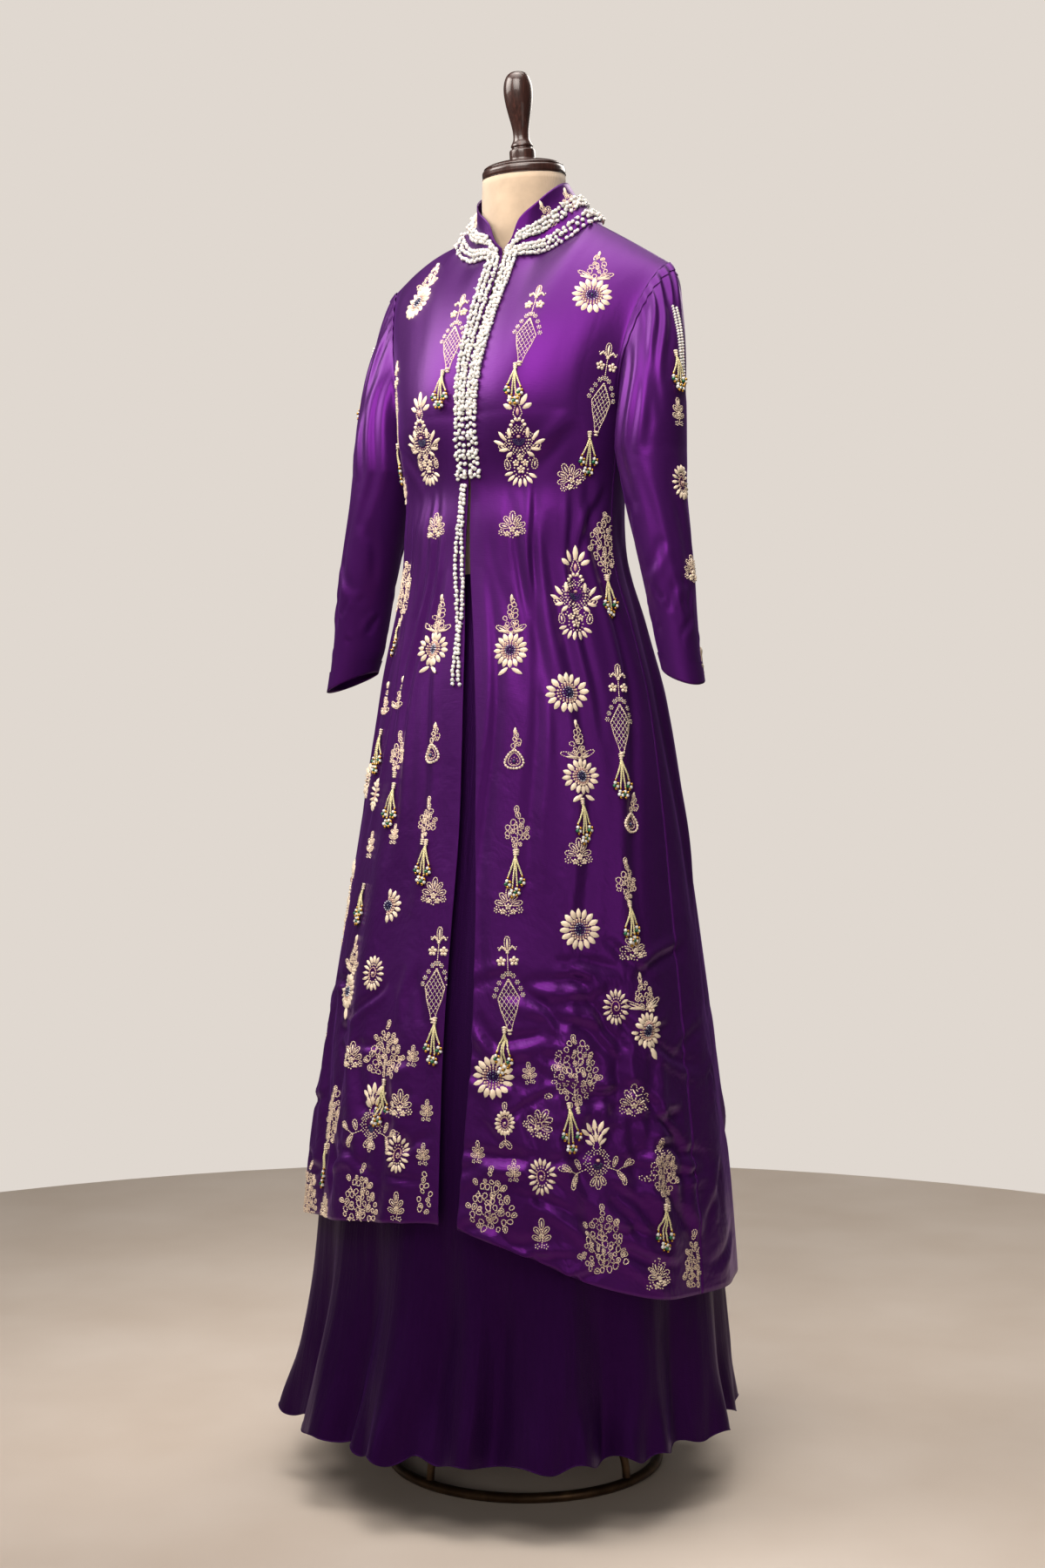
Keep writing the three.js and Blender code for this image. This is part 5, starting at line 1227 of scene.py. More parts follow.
plain_sun = partial(sunflower, radius=25)
half_sun = partial(sunflower, radius=21, cut=(-90, 90))
leaf_spray = partial(spray, v=-22, tall=42, spread=12, seed=31)
small_sprig = partial(sprig, scale=0.74)
wide_cluster = partial(cluster, wide=27, tall=35, seed=5)
other_cluster = partial(cluster, wide=29, tall=36, seed=12)
narrow_cluster = partial(cluster, wide=28, tall=32, seed=7)
tied_cluster = partial(cluster, wide=21, tall=36, seed=4, outline=BRANCH_OUTLINE, tied=True)
tied_wide_cluster = partial(cluster, wide=30, tall=38, seed=6, outline=BRANCH_OUTLINE, tied=True)

SEWN_ON = {  # rows of design, angle, height and turn for each piece
    "jacket_front_right": (
        (spray_and_sun, -66, 1485, 6), (lattice_pear, -14.2, 1410, 3), (jewel, -27.2, 1283, 0),
        (fan, -20.2, 1176, 0), (spray_sun_leaves, -11.8, 1035, 0), (drop, -5.2, 903, 0),
        (bush, -3.8, 814, 0), (fan, 3.4, 730, 0), (lattice_pear, 7.3, 625, 0),
        (tied_cluster, -49, 1100, 0), (leaf_spray, -32.3, 972, 0), (bush, -25.4, 894, 0),
        (small_sprig, -18.9, 797, 0), (half_sun, -15.6, 711, 0), (oval_flower, -17.3, 630, 0),
        (narrow_cluster, -8.4, 542, 0), (jewel_flower, -10.8, 462, 0),
        (wide_cluster, -11.8, 370, 0), (small_sprig, 2, 539, 0), (fan, -0.6, 482, 0),
        (oval_flower, 0.2, 425, 0), (sprig, 1, 366, 0), (small_sprig, 7.6, 478, 0),
        (small_sprig, 7.6, 428, 0), (half_cluster, 9.4, 386, 0), (lattice_pear, -62, 1335, 4),
        (sprig, -60, 1232, 0), (leaf_spray, -46.8, 966, 0), (oval_flower, -39.9, 844, 0),
        (sprig, -35.4, 782, 0), (tree_and_sun, -33, 616, 0), (fan, -20.6, 530, 0),
        (tied_cluster, -31.6, 449, 0), (fan, -29, 342, 0), (wide_cluster, -42, 350, 0),
        (tied_cluster, -66, 1090, 0), (plain_sun, -58, 860, 0), (jewel, -58, 700, 0),
        (drop, -70, 930, 0), (fan, -70, 800, 0), (oval_flower, -76, 560, 0),
        (lattice_pear, -56, 500, 0), (tied_cluster, -68, 400, 0), (wide_cluster, -76, 322, 0)),
    "jacket_front_left": (
        (spray_and_sun, 69, 1462, -8), (lattice_pear, 36, 1408, -6), (jewel, 32, 1273, 0),
        (lattice_pear, 68.5, 1326, -8), (fan, 56, 1229, 30), (fan, 28.6, 1171, 0),
        (spray_sun_leaves, 28.6, 1031, 0), (drop, 31, 896, 0), (bush, 32.2, 804, 0),
        (fan, 29.8, 720, 0), (lattice_pear, 30.3, 616, 2), (plain_sun, 26.4, 521, 0),
        (small_sprig, 36.1, 526, 6), (flower_and_leaf, 29.8, 469, 0), (fan, 38.7, 467, -32),
        (small_sprig, 22.7, 434, 0), (small_sprig, 32.2, 417, 0), (oval_flower, 39, 409, 0),
        (wide_cluster, 26.6, 383, 0), (sprig, 38.9, 346, 0), (jewel_flower, 53.4, 432, 0),
        (other_cluster, 54, 334, 0), (tied_wide_cluster, 48.3, 527, 0), (plain_sun, 51.5, 689, 0),
        (oval_flower, 61.2, 598, 0), (tree_and_sun, 70.6, 583, 0), (fan, 64.2, 488, 0),
        (tied_cluster, 71.6, 405, 0), (fan, 68.3, 288, 0), (narrow_cluster, 83, 294, 0),
        (jewel, 57.7, 1086, 0), (plain_sun, 51.7, 968, 0), (spray_sun_leaves, 54.7, 880, 0),
        (fan, 52.5, 778, 0), (tied_cluster, 73.4, 1150, 0), (lattice_pear, 70.6, 938, 0),
        (drop, 72, 820, -20), (bush, 67.5, 742, 0), (fan, 68.2, 666, 0)),
    "sleeve_left": (
        (bead_strip, 86, 1392, -4), (sprig, 72.7, 1304, 4), (oval_flower, 73.3, 1219, 0),
        (fan, 76.1, 1114, 0), (leaf_corner, 82, 1000, 0)),
    "sleeve_right": (
        (bead_strip, -86, 1392, 4), (sprig, -72.6, 1336, -4), (oval_flower, -69.8, 1248, 0),
        (fan, -72.3, 1135, 0), (leaf_corner, -76, 1018, 0)),
    "collar": (
        (leaf_corner, 62, 1565, 30), (leaf_corner, 84, 1586, 12), (leaf_corner, -62, 1565, -30),
        (leaf_corner, -84, 1586, -12)),
}

TASSELS = table(
    "order piece angle z length",
    (1, 0, 30.5, 1362, 38), (2, 0, 31.8, 778, 44), (3, 0, 29.4, 574, 44), (4, 0, 54.2, 838, 42),
    (5, 0, 46.2, 488, 44), (6, 0, 63.4, 1280, 42), (7, 0, 73.8, 1108, 40), (8, 0, 69.1, 891, 42),
    (9, 0, 67.4, 717, 40), (10, 0, 70.7, 366, 42), (11, 2, 75, 1375, 38),
    (12, 1, -14.1, 1364, 38), (13, 1, -1.9, 788, 44), (14, 1, 8.2, 581, 42),
    (15, 1, -49, 1062, 36), (16, 1, -23.7, 855, 42), (17, 1, -8, 504, 42),
    (18, 1, -62, 1290, 42), (19, 1, -44.3, 922, 44), (20, 1, -34.1, 730, 40),
    (21, 1, -31.8, 413, 42), (22, 3, -75, 1375, 38))
TASSEL_PIECES = ("jacket_front_left", "jacket_front_right", "sleeve_left", "sleeve_right")


class Seat:
    """A place on a piece of cloth that flat work is laid on, facing away from the wearer."""

    def __init__(self, piece, angle, z):
        if piece not in SURFACES:
            raise RuntimeError(f"{piece} has to be made before its beadwork")
        self.surface = SURFACES[piece]
        side = -1 if piece == "sleeve_right" else 1
        axis = (side * 175.0, -8.0) if piece.startswith("sleeve") else (0.0, 0.0)
        c, s = cos_sin(angle)
        out = Vector((s, -c, 0))
        start = Vector((axis[0], axis[1], z)) + out * 500
        place, normal, _, _ = self.surface.ray_cast(start, -out)
        if place is None:
            place, normal, _, _ = self.surface.find_nearest(start - out * 330)
        self.normal = normal if normal.dot(out) > 0 else -normal
        self.origin = place
        up = Vector((0, 0, 1)) - self.normal * self.normal.z
        self.up = up.normalized()
        self.across = self.up.cross(self.normal)

    def place(self, u, v):
        """The cloth's point and normal at u across and v up from the seat."""
        near = self.origin + self.across * u + self.up * v
        place, normal, _, _ = self.surface.ray_cast(near + self.normal * 60, -self.normal)
        if place is None or (place - near).length > 45:
            return None
        return place, normal if normal.dot(self.normal) > 0 else -normal


def sew(seat, rows, turn):
    """The beads of a motif on the cloth, those past its edge left off. Each row is a place, three
    axes, three half sizes, a finish and whether the bead is pointed."""
    c, s = cos_sin(turn)
    sewn = []
    for u, v, angle, long, wide, high, finish, pointed in rows:
        found = seat.place(u * c - v * s, u * s + v * c)
        if not found:
            continue
        point, normal = found
        along_u, along_v = cos_sin(angle + turn)
        ahead = seat.across * along_u + seat.up * along_v
        ahead = (ahead - normal * ahead.dot(normal)).normalized()
        sewn.append((*(point + normal * BEAD_LIFT), *ahead, *normal.cross(ahead), *normal,
                     long / 2, wide / 2, high, finish, pointed))
    return sewn


# ------------------------------------------------------------------ settings
class JacketLehengaSettings(bpy.types.PropertyGroup):
    satin_colour: bpy.props.FloatVectorProperty(
        name="Satin", description="Colour of the jacket's silk satin", subtype="COLOR", size=4,
        min=0, max=1, default=linear("#2F0F40"))
    georgette_colour: bpy.props.FloatVectorProperty(
        name="Georgette", description="Colour of the skirt's georgette", subtype="COLOR", size=4,
        min=0, max=1, default=linear("#180524"))
    lining_colour: bpy.props.FloatVectorProperty(
        name="Lining", description="Colour of the skirt's lining", subtype="COLOR", size=4,
        min=0, max=1, default=linear("#140519"))
    linen_colour: bpy.props.FloatVectorProperty(
        name="Linen", description="Colour of the form's linen cover", subtype="COLOR", size=4,
        min=0, max=1, default=linear("#BBA68E"))
    cloth_thickness: bpy.props.FloatProperty(
        name="Satin thickness", description="Thickness of the jacket's cloth with its facing",
        subtype="DISTANCE", unit="LENGTH", min=0.0003, max=0.002, default=0.0012)
    pearl_size: bpy.props.FloatProperty(
        name="Pearl", description="Diameter of the collar's pearls", subtype="DISTANCE",
        unit="LENGTH", min=0.003, max=0.012, default=0.0056)
    tassel_strands: bpy.props.IntProperty(
        name="Tassel strands", description="Cords in each tassel", min=2, max=6, default=4)


# ------------------------------------------------------------------ operators
class LEHENGA_OT_stage(bpy.types.Operator):
    """Adds the pale floor, the soft studio lights and the camera"""
    bl_idname = "lehenga.make_stage"
    bl_label = "Studio Stage"

    def execute(self, context):
        turn = np.linspace(0, 2 * np.pi, 96, endpoint=False)
        ring = np.stack([FLOOR_RADIUS * np.cos(turn), FLOOR_RADIUS * np.sin(turn),
                         -0.4 + 0 * turn], -1)
        floor_mesh = bpy.data.meshes.new("studio_floor")
        floor_mesh.from_pydata((ring / 1000).tolist(), [], [list(range(96))])
        floor, tree, sockets, place = start_material("painted_floor_matt", linear("#CFC4B8"), {
            "Roughness": 0.7, "Specular IOR Level": 0.2})
        mottle = add_node(tree, "ShaderNodeTexNoise", {"Scale": 3.0, "Detail": 3.0},
                          {"Vector": place})
        add_node(tree, "ShaderNodeValToRGB", {
            "stops": [(0.3, linear("#C8BCB0")), (0.7, linear("#D2C8BE"))]},
            {"Fac": mottle}, sockets["Base Color"])
        floor_mesh.materials.append(floor)
        put_in_scene("studio_floor", floor_mesh)

        lights = (
            # name, place, aimed at, width, height, spread in degrees, power
            ("overhead_softbox_left", (0.5, -1.3, 2.3), (0.0, -0.1, 1.4), 1.3, 1.0, 90, 8),
            ("overhead_softbox_right", (-1.05, -0.95, 2.3), (0.0, -0.1, 1.4), 1.3, 1.0, 90, 9),
            ("ceiling_panel", (0.0, -0.35, 2.7), (0.0, -0.15, 1.4), 1.8, 0.9, 80, 6),
            ("front_fill", (0.7, -3.4, 1.8), (0.0, -0.1, 1.35), 2.2, 2.2, 44, 9),
            ("low_side_softbox", (1.9, -0.9, 0.9), (0.0, 0.0, 0.4), 0.8, 0.9, 80, 0.7),
            ("back_softbox", (0.1, 1.5, 2.35), (0.0, 0.0, 1.4), 1.0, 0.9, 90, 4),
            ("back_fill", (-0.8, 3.4, 1.6), (0.0, 0.0, 1.0), 2.0, 2.0, 130, 10),
        )
        for name, place, target, width, height, spread, power in lights:
            data = bpy.data.lights.new(name, "AREA")
            data.shape, data.size, data.size_y = "RECTANGLE", width, height
            code = "#FFF3E8" if name == "front_fill" else "#FFF6EE"
            data.energy, data.color = power, linear(code)[:3]
            data.spread = math.radians(spread)
            lamp = put_in_scene(name, data)
            lamp.location = place
            aim = Vector(target) - Vector(place)
            lamp.rotation_euler = aim.to_track_quat("-Z", "Y").to_euler()
            # The big fills only lift the shade; the softboxes alone make the satin's highlights.
            lamp.visible_glossy = not name.endswith("fill")

        data = bpy.data.lights.new("ceiling_light", "SUN")
        data.energy, data.angle, data.color = 0.9, math.radians(45), linear("#FFF8F0")[:3]
        put_in_scene("ceiling_light", data).rotation_euler = (math.radians(-10), 0, 0)

        world = context.scene.world or bpy.data.worlds.new("studio")
        context.scene.world = world
        world.use_nodes = True
        tree = world.node_tree
        tree.nodes.clear()
        path = add_node(tree, "ShaderNodeLightPath")
        dim = add_node(tree, "ShaderNodeBackground", {"Color": linear("#E6E0DA"), "Strength": 0.07})
        pale = add_node(tree, "ShaderNodeBackground", {"Color": linear("#E0D8D0"), "Strength": 1.0})
        both = add_node(tree, "ShaderNodeMixShader", links={
            0: path.outputs["Is Camera Ray"], 1: dim, 2: pale})
        add_node(tree, "ShaderNodeOutputWorld", links={"Surface": both})

        # Eye height 0.89 m, 2.65 m from the pole, 35 degrees round to the wearer's left.
        azimuth, distance = math.radians(35), 2.65
        data = bpy.data.cameras.new("studio_camera")
        data.sensor_width, data.lens = 36.0, 47.7
        data.shift_x, data.shift_y = -3 / 1800, -30 / 1800
        camera = put_in_scene("studio_camera", data)
        camera.location = (distance * math.sin(azimuth) + POLE_AXIS[0] / 1000,
                           -distance * math.cos(azimuth) + POLE_AXIS[1] / 1000, 0.89)
        camera.rotation_euler = (math.pi / 2, 0, azimuth)
        context.scene.camera = camera
        context.scene.view_settings.view_transform = "Standard"
        return {"FINISHED"}


class LEHENGA_OT_jacket(bpy.types.Operator):
    """Makes the jacket's fronts, back, sleeves and collar"""
    bl_idname = "lehenga.make_jacket"
    bl_label = "Jacket"

    def execute(self, context):
        settings = context.scene.jacket_lehenga
        finish = satin(tuple(settings.satin_colour))
        thickness = settings.cloth_thickness * 1000
        pieces = (
            # node, grid, closed, facing, cut in metres, its area in square metres
            ("jacket_front_left", front_rows(1), False, 1, (0.46, 1.34), 0.40),
            ("jacket_front_right", front_rows(-1), False, -1, (0.46, 1.30), 0.40),
            ("jacket_back", back_rows(), False, 1, (0.80, 1.36), 0.80),
            ("sleeve_left", sleeve_rows(1), True, -1, (0.34, 0.56), 0.15),
            ("sleeve_right", sleeve_rows(-1), True, 1, (0.34, 0.56), 0.15),
            ("collar", collar_rows(), False, 1, (0.50, 0.07), 0.030),
        )
        for name, rows, closed, facing, flat, area in pieces:
            # The collar is cut double; the rest shows its second layer only at the turned edges.
            turned_in = 0 if name == "collar" else TURNED_IN_ROWS
            piece = cloth(name + "_satin", rows, closed, facing, thickness, finish, turned_in)
            SURFACES[name] = SURFACES[name + "_satin"]
            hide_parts(name)
        return {"FINISHED"}


class LEHENGA_OT_skirt(bpy.types.Operator):
    """Makes the flared skirt with its rolled wavy hem and the lining under it"""
    bl_idname = "lehenga.make_skirt"
    bl_label = "Skirt"

    def execute(self, context):
        settings = context.scene.jacket_lehenga
        angle = np.linspace(0, 360, 600, endpoint=False)[None]
        z = np.concatenate([np.linspace(SKIRT_TOP_Z, 460, 24), np.linspace(450, 172, 44),
                            np.linspace(169, SKIRT_HEM_Z, 30)])[:, None]
        rows = skirt_point(angle, z)
        finish = georgette(tuple(settings.georgette_colour))
        skirt = cloth("skirt_georgette", rows, True, -1, 0, finish)
        # The hem is rolled by hand to a cord 1.6 mm thick.
        hem_line = np.concatenate([rows[-1], rows[-1][:1]])
        hem = new_piece("skirt_rolled_hem", *tube(hem_line, 0.8, 6), [finish])
        z = np.linspace(SKIRT_TOP_Z, LINING_HEM_Z, 60)[:, None]
        angle = np.linspace(0, 360, 240, endpoint=False)[None]
        # The lining hangs inside the skirt, with shallower folds.
        inset = 1.8 + 9 * ease(0, 60, SKIRT_TOP_Z - z)
        rows = section_point(SKIRT_SECTIONS, angle, z, 0.8 * skirt_folds(angle, z) - inset)
        lining = cloth("skirt_lining_crepe", rows, True, -1, 0, plain_weave(
            "crepe_lining_woven", tuple(settings.lining_colour), 0.7, 700.0, 0.2))
        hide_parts("skirt")
        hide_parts("skirt_lining")
        return {"FINISHED"}


class LEHENGA_OT_pearls(bpy.types.Operator):
    """Sews the pearls round the collar and down the front edges"""
    bl_idname = "lehenga.make_pearls"
    bl_label = "Pearls"

    def execute(self, context):
        size = context.scene.jacket_lehenga.pearl_size * 1000
        luck = np.random.default_rng(7)
        edges = {1: front_rows(1, 110, 380, 140), -1: front_rows(-1, 110, 380, 140)}
        collar = collar_rows(360, 44)
        strips = (
            # node, strip of the ground cloth that the pearls are sewn to
            ("pearl_band_left", self.edge_strip(edges[1], 1227, 1519, 20)),
            ("pearl_band_right", self.edge_strip(edges[-1], 1227, 1519, 20)),
            ("pearl_strands_right", self.edge_strip(edges[-1], 975, 1227, 17)),
            ("pearl_row_lower", self.collar_strip(collar, -0.03, 0.26)),
            ("pearl_row_upper", self.collar_strip(collar, 0.36, 0.62)),
        )
        for node, (grid, normals) in strips:
            loose = node == "pearl_strands_right"
            places, lifts, outward = self.laid_in_lines(grid, normals, size, loose, luck)
            axes = self.loose_axes(outward, luck)
            sizes = size / 2 * np.stack([luck.uniform(low, high, len(places)) for low, high in (
                (0.95, 1.12), (0.86, 0.98), (0.82, 0.96))], -1)
            pearls = scatter(bead_shape(8, 3, True), places + lifts, axes, sizes)
            # Seed beads fill the gaps beside every other pearl.
            keep = luck.random(len(places)) < 0.5
            small = np.full((keep.sum(), 3), size * 0.2)
            nudge = luck.uniform(-0.5, 0.5, (keep.sum(), 3)) * size
            seeds = scatter(bead_shape(6, 2, True), (places + lifts * 0.9)[keep] + nudge,
                            axes[keep], small)
            piece = new_piece(node + "_beads", *gather([pearls, seeds]),
                              [finish_of("pearl"), finish_of("silver")],
                              np.repeat([0, 1], [len(pearls[1]), len(seeds[1])]))
            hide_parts(node)
        return {"FINISHED"}

    @staticmethod
    def laid_in_lines(grid, normals, size, loose, luck):
        """Places, lifts and outward directions of uneven pearls threaded in lines along a strip.
        A sewn strip has a second, sparse layer; a loose one has a single layer and sways."""
        rows, columns = grid.shape[:2]
        length = np.linalg.norm(np.diff(grid[:, columns // 2], axis=0), axis=1).sum()
        width = np.linalg.norm(np.diff(grid[rows // 2], axis=0), axis=1).sum()
        lines = max(2, int(round(width / (size * 1.08))))
        places, lifts, outward = [], [], []
        for layer, pitch in enumerate((0.98,) if loose else (0.98, 2.6)):
            step = size * pitch
            for line in range(lines):
                for k in range(int(length / step)):
                    down = (k + 0.5 + luck.uniform(-0.13, 0.13) + 0.3 * (line % 2)) * step
                    share = np.clip(down / length, 0, 0.999) * (rows - 1)
                    aside = (line + 0.5 + luck.uniform(-0.14, 0.14)) / lines
                    if loose:
                        aside += 0.16 * math.sin(down / 27 + line * 1.7)
                    aside = np.clip(aside, 0, 0.999) * (columns - 1)
                    i, j = int(share), int(aside)
                    point = mix(grid[i, j], grid[min(i + 1, rows - 1), j], share - i)
                    beside = grid[i, min(j + 1, columns - 1)] - grid[i, j]
                    places.append(point + beside * (aside - j))
                    lifts.append(normals[i, j] * (size * (0.44 + 0.4 * layer)
                                                  + luck.uniform(-0.4, 0.4)))
                    outward.append(normals[i, j])
        return np.array(places), np.array(lifts), np.array(outward)

    @staticmethod
    def edge_strip(rows, low, high, width):
        """The strip of a front beside its opening edge, between two heights."""
        facing = 1 if rows[0, -1, 0] > 0 else -1
        normals = normals_of(rows, False, facing)
        keep = (rows[:, 0, 2] >= low) & (rows[:, 0, 2] <= high)
        reach = np.linalg.norm(np.diff(rows, axis=1), axis=-1).cumsum(1)
        columns = int((reach[len(reach) // 2] < width).sum()) + 1
        return rows[keep, :columns], normals[keep, :columns]

    @staticmethod
    def collar_strip(rows, low, high):
        """The strip of the collar between two shares of its height, running round the neck."""
        normals = normals_of(rows, False, 1)
        count = len(rows) - 1
        share = np.clip(np.linspace(low, high, 8), 0, 1) * count
        index = share.round().astype(int)
        return np.swapaxes(rows[index, 2:-2], 0, 1), np.swapaxes(normals[index, 2:-2], 0, 1)

    @staticmethod
    def loose_axes(normals, luck):
        """Axes that lie roughly along the cloth, each turned by chance."""
        chance = luck.normal(size=normals.shape)
        ahead = chance - normals * (chance * normals).sum(1, keepdims=True) * 0.7
        ahead /= np.linalg.norm(ahead, axis=1, keepdims=True)
        beside = np.cross(normals, ahead)
        beside /= np.linalg.norm(beside, axis=1, keepdims=True)
        return np.stack([ahead, beside, np.cross(ahead, beside)], 1)


class LEHENGA_OT_beadwork(bpy.types.Operator):
    """Sews the flat ornaments on the fronts, sleeves and collar"""
    bl_idname = "lehenga.make_beadwork"
    bl_label = "Beadwork"

    def execute(self, context):
        for name in sorted(SEWN_ON):
            sewn = []
            for design, angle, z, turn in SEWN_ON[name]:
                motif = Motif()
                design(motif)
                sewn += sew(Seat(name, angle, z), motif.rows, turn)
            sewn = np.array(sewn, float)
            places, axes, sizes = sewn[:, :3], sewn[:, 3:12].reshape(-1, 3, 3), sewn[:, 12:15]
            finishes, pointed = sewn[:, 15].astype(int), sewn[:, 16] > 0
            parts, finish = [], []
            # Beads under 2.1 mm wide have one ring fewer.
            tiny = sizes[:, 1] < 1.05
            for shape, chosen in ((bead_shape(6, 2), ~pointed & ~tiny),
                                  (bead_shape(6, 1), ~pointed & tiny), (petal_shape(), pointed)):
                if chosen.any():
                    parts.append(scatter(shape, places[chosen], axes[chosen], sizes[chosen]))
                    finish.append(np.repeat(finishes[chosen], len(shape[1])))
            work = new_piece(name + "_beadwork", *gather(parts),
                             [finish_of(kind) for kind in FINISH_ORDER], np.concatenate(finish))
        return {"FINISHED"}


class LEHENGA_OT_tassels(bpy.types.Operator):
    """Hangs the twisted tassels with their bead ends"""
    bl_idname = "lehenga.make_tassels"
    bl_label = "Tassels"

    def execute(self, context):
        strands = context.scene.jacket_lehenga.tassel_strands
        luck = np.random.default_rng(11)
        kinds = ["cord", "ivory", "pearl", "gilt", "emerald"]
        thread, pitch, steps, width = 0.62, 5.5, 44, 22
        nodes = [part["node"] for part in frame["record"]["subparts"]
                 if part["node"].startswith("tassel_")]
        if len(TASSELS["order"]) != len(nodes):
            raise RuntimeError("the tassel table doesn't match the packed model")
        ball = bead_shape(7, 2, True)
        parts, finish = [], []

        def put(part, kind):
            parts.append(part)
            finish.append(np.full(len(part[1]), kinds.index(kind)))

        for _, piece, angle, z, length in zip(*TASSELS.values()):
            seat = Seat(TASSEL_PIECES[int(piece)], angle, z)
            for k in range(3):
                found = seat.place(0, 3 - 2.6 * k) or (seat.origin, seat.normal)
                axes = np.array([[seat.across, seat.up, found[1]]], float)
                where = np.array([found[0] + found[1] * 1.8], float)
                put(scatter(ball, where, axes, np.array([[3.4 - 0.4 * k, 1.6, 2.2]])), "ivory")
            for k in range(strands):
                aside = (k - (strands - 1) / 2) * (width / strands)
                reach = length * (1 - 0.05 * abs(aside) + luck.uniform(-0.05, 0.05))
                path = []
                for t in np.linspace(0, 1, 26):
                    found = seat.place(aside * t**1.3 + luck.uniform(-0.1, 0.1), -2 - reach * t)
                    found = found or (seat.origin - Vector((0, 0, reach * t)), seat.normal)
                    path.append(found[0] + found[1] * (1.9 + 1.5 * math.sin(math.pi * t)))
                path = np.array(path, float)
                fine = np.stack([np.interp(np.linspace(0, 25, steps), range(26), path[:, axis])
                                 for axis in range(3)], -1)
                ahead = np.gradient(fine, axis=0)
                ahead /= np.linalg.norm(ahead, axis=1, keepdims=True)
                side = np.cross(ahead, np.array(seat.normal)[None])
                side /= np.linalg.norm(side, axis=1, keepdims=True)
                over = np.cross(side, ahead)
                twist = np.linspace(0, reach / pitch * 2 * np.pi, steps)[:, None]
                for ply in (0, np.pi):
                    wound = fine + thread * (side * np.cos(twist + ply)
                                             + over * np.sin(twist + ply))
                    put(self.as_triangles(tube(wound, thread, 4)), "cord")
                foot, normal = fine[-1], np.array(seat.normal)
                ends = (("gilt", 0, 0, 1.6, 1.6), ("pearl", -1, -3.6, 2.0, 2.3),
                        ("gilt", 2.6, -4.6, 2.4, 2.0), ("emerald", -2.4, -7.4, 2.6, 2.4),
                        ("pearl", 2.0, -8.2, 1.6, 2.3), ("gilt", -0.4, -11, 2.2, 2.0))
                for kind, u, v, out, radius in ends:
                    if kind == "emerald" and k % 3 == 1:
                        kind = "pearl"
                    where = foot + np.array(seat.across) * u + np.array(seat.up) * v + normal * (
                        out - 1.0)
                    put(scatter(ball, where[None], np.eye(3)[None],
                                np.array([[radius, radius, radius * 0.9]])), kind)
        tassels = new_piece("tassels_twisted_cord", *gather(parts),
                            [finish_of(kind) for kind in kinds], np.concatenate(finish))
        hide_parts(*nodes)
        return {"FINISHED"}

    @staticmethod
    def as_triangles(part):
        points, quads = part
        return points, np.concatenate([quads[:, [0, 1, 2]], quads[:, [0, 2, 3]]])


class LEHENGA_OT_form(bpy.types.Operator):
    """Makes the padded dress form with its turned neck cap and finial"""
    bl_idname = "lehenga.make_form"
    bl_label = "Dress Form"

    def execute(self, context):
        settings = context.scene.jacket_lehenga
        z = np.linspace(FORM_BASE_Z, NECK_TOP_Z, 90)[:, None]
        angle = np.linspace(0, 360, 80, endpoint=False)[None]
        rows = section_point(FORM_SECTIONS, angle, z)
        lean = math.tan(math.radians(NECK_LEAN)) * ease(NECK_TOP_Z - 48, NECK_TOP_Z, z)
        rows[..., 2] += lean * (rows[..., 1] - CAP_CENTRE_Y)
        points = rows.reshape(-1, 3)
        faces = grid_faces(90, 80, True).tolist()
        faces += [list(range(80))[::-1], list(range(len(points) - 80, len(points)))]
        linen = plain_weave("linen_cover_woven", tuple(settings.linen_colour), 0.85, 420.0, 0.3)
        form = new_piece("form_padded_linen", points, faces, [linen],
                         smooth=[len(face) == 4 for face in faces])
        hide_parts("form_torso")

        wood = lacquered_wood(linear("#3A211C"))
        turn = np.array(Matrix.Rotation(math.radians(NECK_LEAN), 3, "X"))
        for node, profile in (("neck_cap", CAP_PROFILE), ("finial", FINIAL_PROFILE)):
            points, faces = turned(self.smoothed(profile), 72)
            points = points @ turn.T + [0, CAP_CENTRE_Y, NECK_TOP_Z]
            piece = new_piece(node + "_turned", points, faces, [wood])
            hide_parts(node)
        return {"FINISHED"}

    @staticmethod
    def smoothed(profile):
        """Extra points along a turned profile, eased through the given ones."""
        profile = np.array(profile, float)
        at = np.linspace(0, len(profile) - 1, 4 * len(profile))
        steps = {"step": np.arange(len(profile), dtype=float), "radius": profile[:, 0],
                 "height": profile[:, 1]}
        return np.stack([np.maximum(along(steps, at, "radius"), 0.01),
                         along(steps, at, "height")], -1)


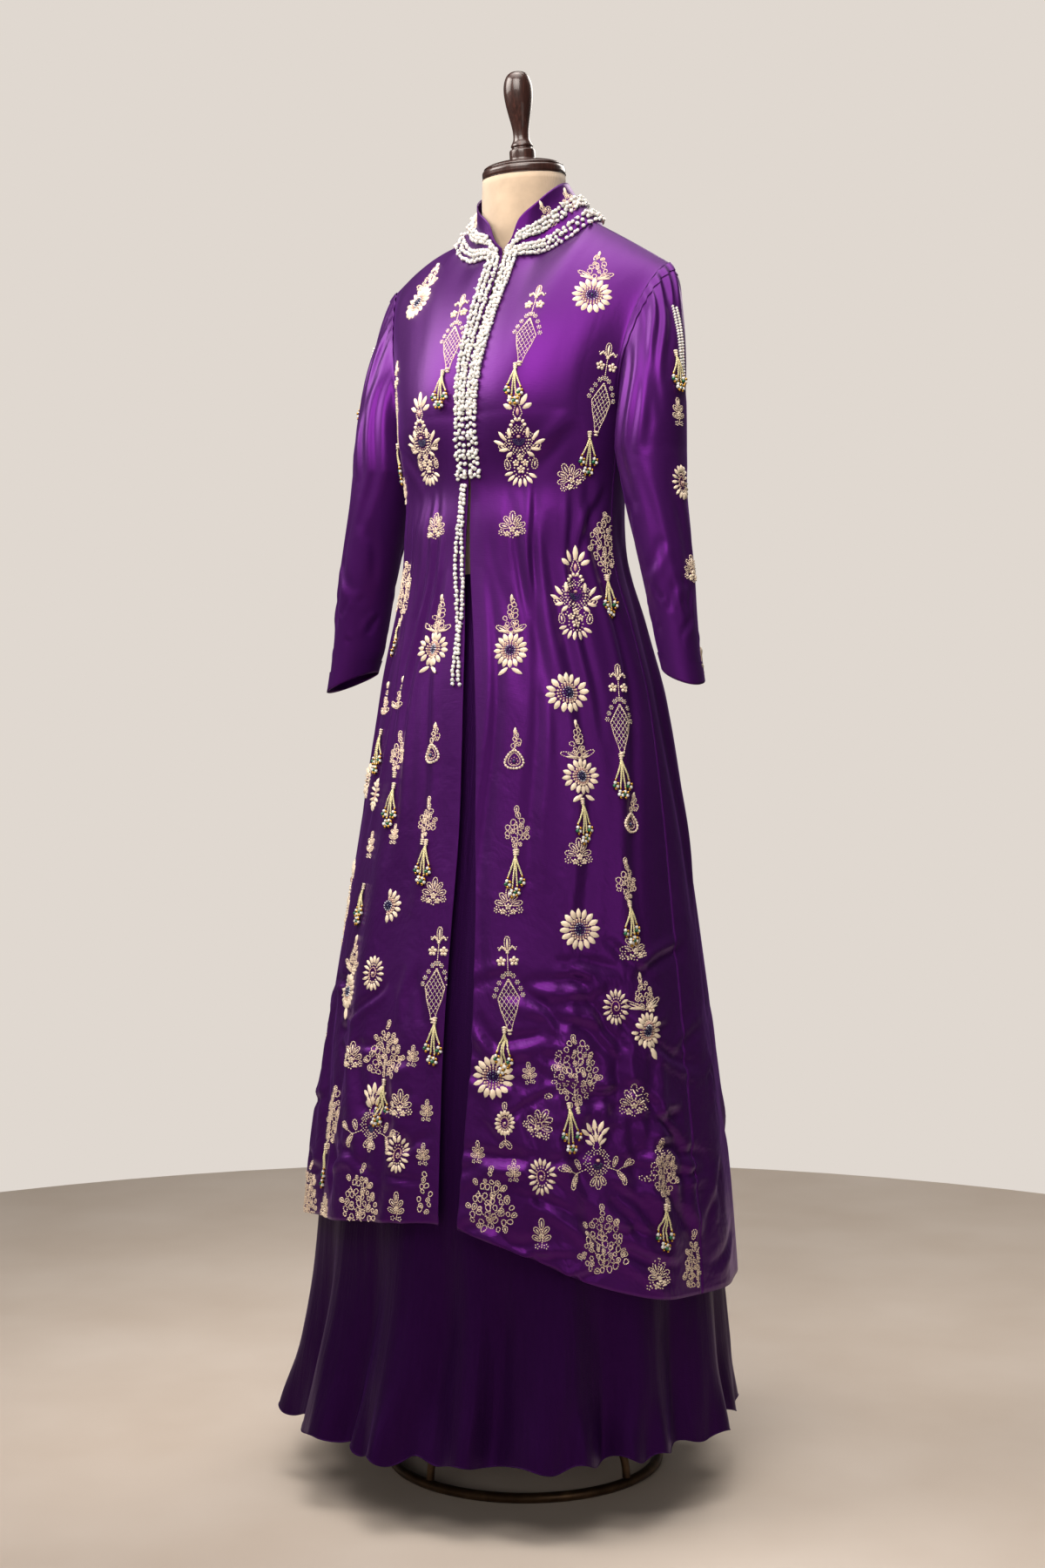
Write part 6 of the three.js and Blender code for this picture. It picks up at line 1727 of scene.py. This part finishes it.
class LEHENGA_OT_stand(bpy.types.Operator):
    """Makes the bronzed pole, hub, bent legs and round base hoop"""
    bl_idname = "lehenga.make_stand"
    bl_label = "Stand"

    def execute(self, context):
        bronze = bronzed_steel(linear("#5A4634"))
        pole = turned([(0.01, 92.4), (13.4, 92.4), (14, 93), (14, 929), (13.4, 929.6),
                       (0.01, 929.6)], 48)
        hub = turned([(0.01, 52), (22.6, 52), (24, 53.4), (24, 88), (22.5, 91), (0.01, 92)], 48)
        section = np.radians(np.arange(0, 360, 15))
        ring = np.stack([169 + 6.4 * np.cos(section), np.maximum(6 + 6.2 * np.sin(section), 0)], -1)
        hoop = turned(np.concatenate([ring, ring[:1]]), 144)
        pieces = [("pole", pole), ("hub", hub), ("base_hoop", hoop)]
        t = np.linspace(0, 1, 28)[:, None]
        path = bezier(np.array([169.0, 0, 12.4]), np.array([169.0, 0, 70]),
                      np.array([109.0, 0, 72]), np.array([24.4, 0, 72]), t)
        for k, angle in enumerate((-8, 82, 172, 262), 1):
            c, s = cos_sin(angle - 90)
            turn = np.array([[c, s, 0], [-s, c, 0], [0, 0, 1]])
            pieces.append((f"base_leg_{k}", tube(path @ turn, 5, 14)))
        for node, (points, faces) in pieces:
            piece = new_piece(node + "_bronzed", points, faces, [bronze])
            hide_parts(node)
        return {"FINISHED"}


class LEHENGA_PT_panel(bpy.types.Panel):
    bl_idname = "LEHENGA_PT_panel"
    bl_label = "Jacket Lehenga"
    bl_space_type = "VIEW_3D"
    bl_region_type = "UI"
    bl_category = "Lehenga"

    def draw(self, context):
        layout = self.layout
        for operator in OPERATORS:
            layout.operator(operator.bl_idname)
        for name in JacketLehengaSettings.__annotations__:
            layout.prop(context.scene.jacket_lehenga, name)


OPERATORS = (LEHENGA_OT_stage, LEHENGA_OT_jacket, LEHENGA_OT_skirt, LEHENGA_OT_pearls,
             LEHENGA_OT_beadwork, LEHENGA_OT_tassels, LEHENGA_OT_form, LEHENGA_OT_stand)
CLASSES = (JacketLehengaSettings, *OPERATORS, LEHENGA_PT_panel)


def register():
    for item in CLASSES:
        bpy.utils.register_class(item)
    bpy.types.Scene.jacket_lehenga = bpy.props.PointerProperty(type=JacketLehengaSettings)


def unregister():
    del bpy.types.Scene.jacket_lehenga
    for item in reversed(CLASSES):
        bpy.utils.unregister_class(item)


def main():
    register()
    bpy.ops.lehenga.make_stage()
    bpy.ops.lehenga.make_jacket()
    bpy.ops.lehenga.make_skirt()
    bpy.ops.lehenga.make_pearls()
    bpy.ops.lehenga.make_beadwork()
    bpy.ops.lehenga.make_tassels()
    bpy.ops.lehenga.make_form()
    bpy.ops.lehenga.make_stand()


if __name__ == "__main__":
    main()
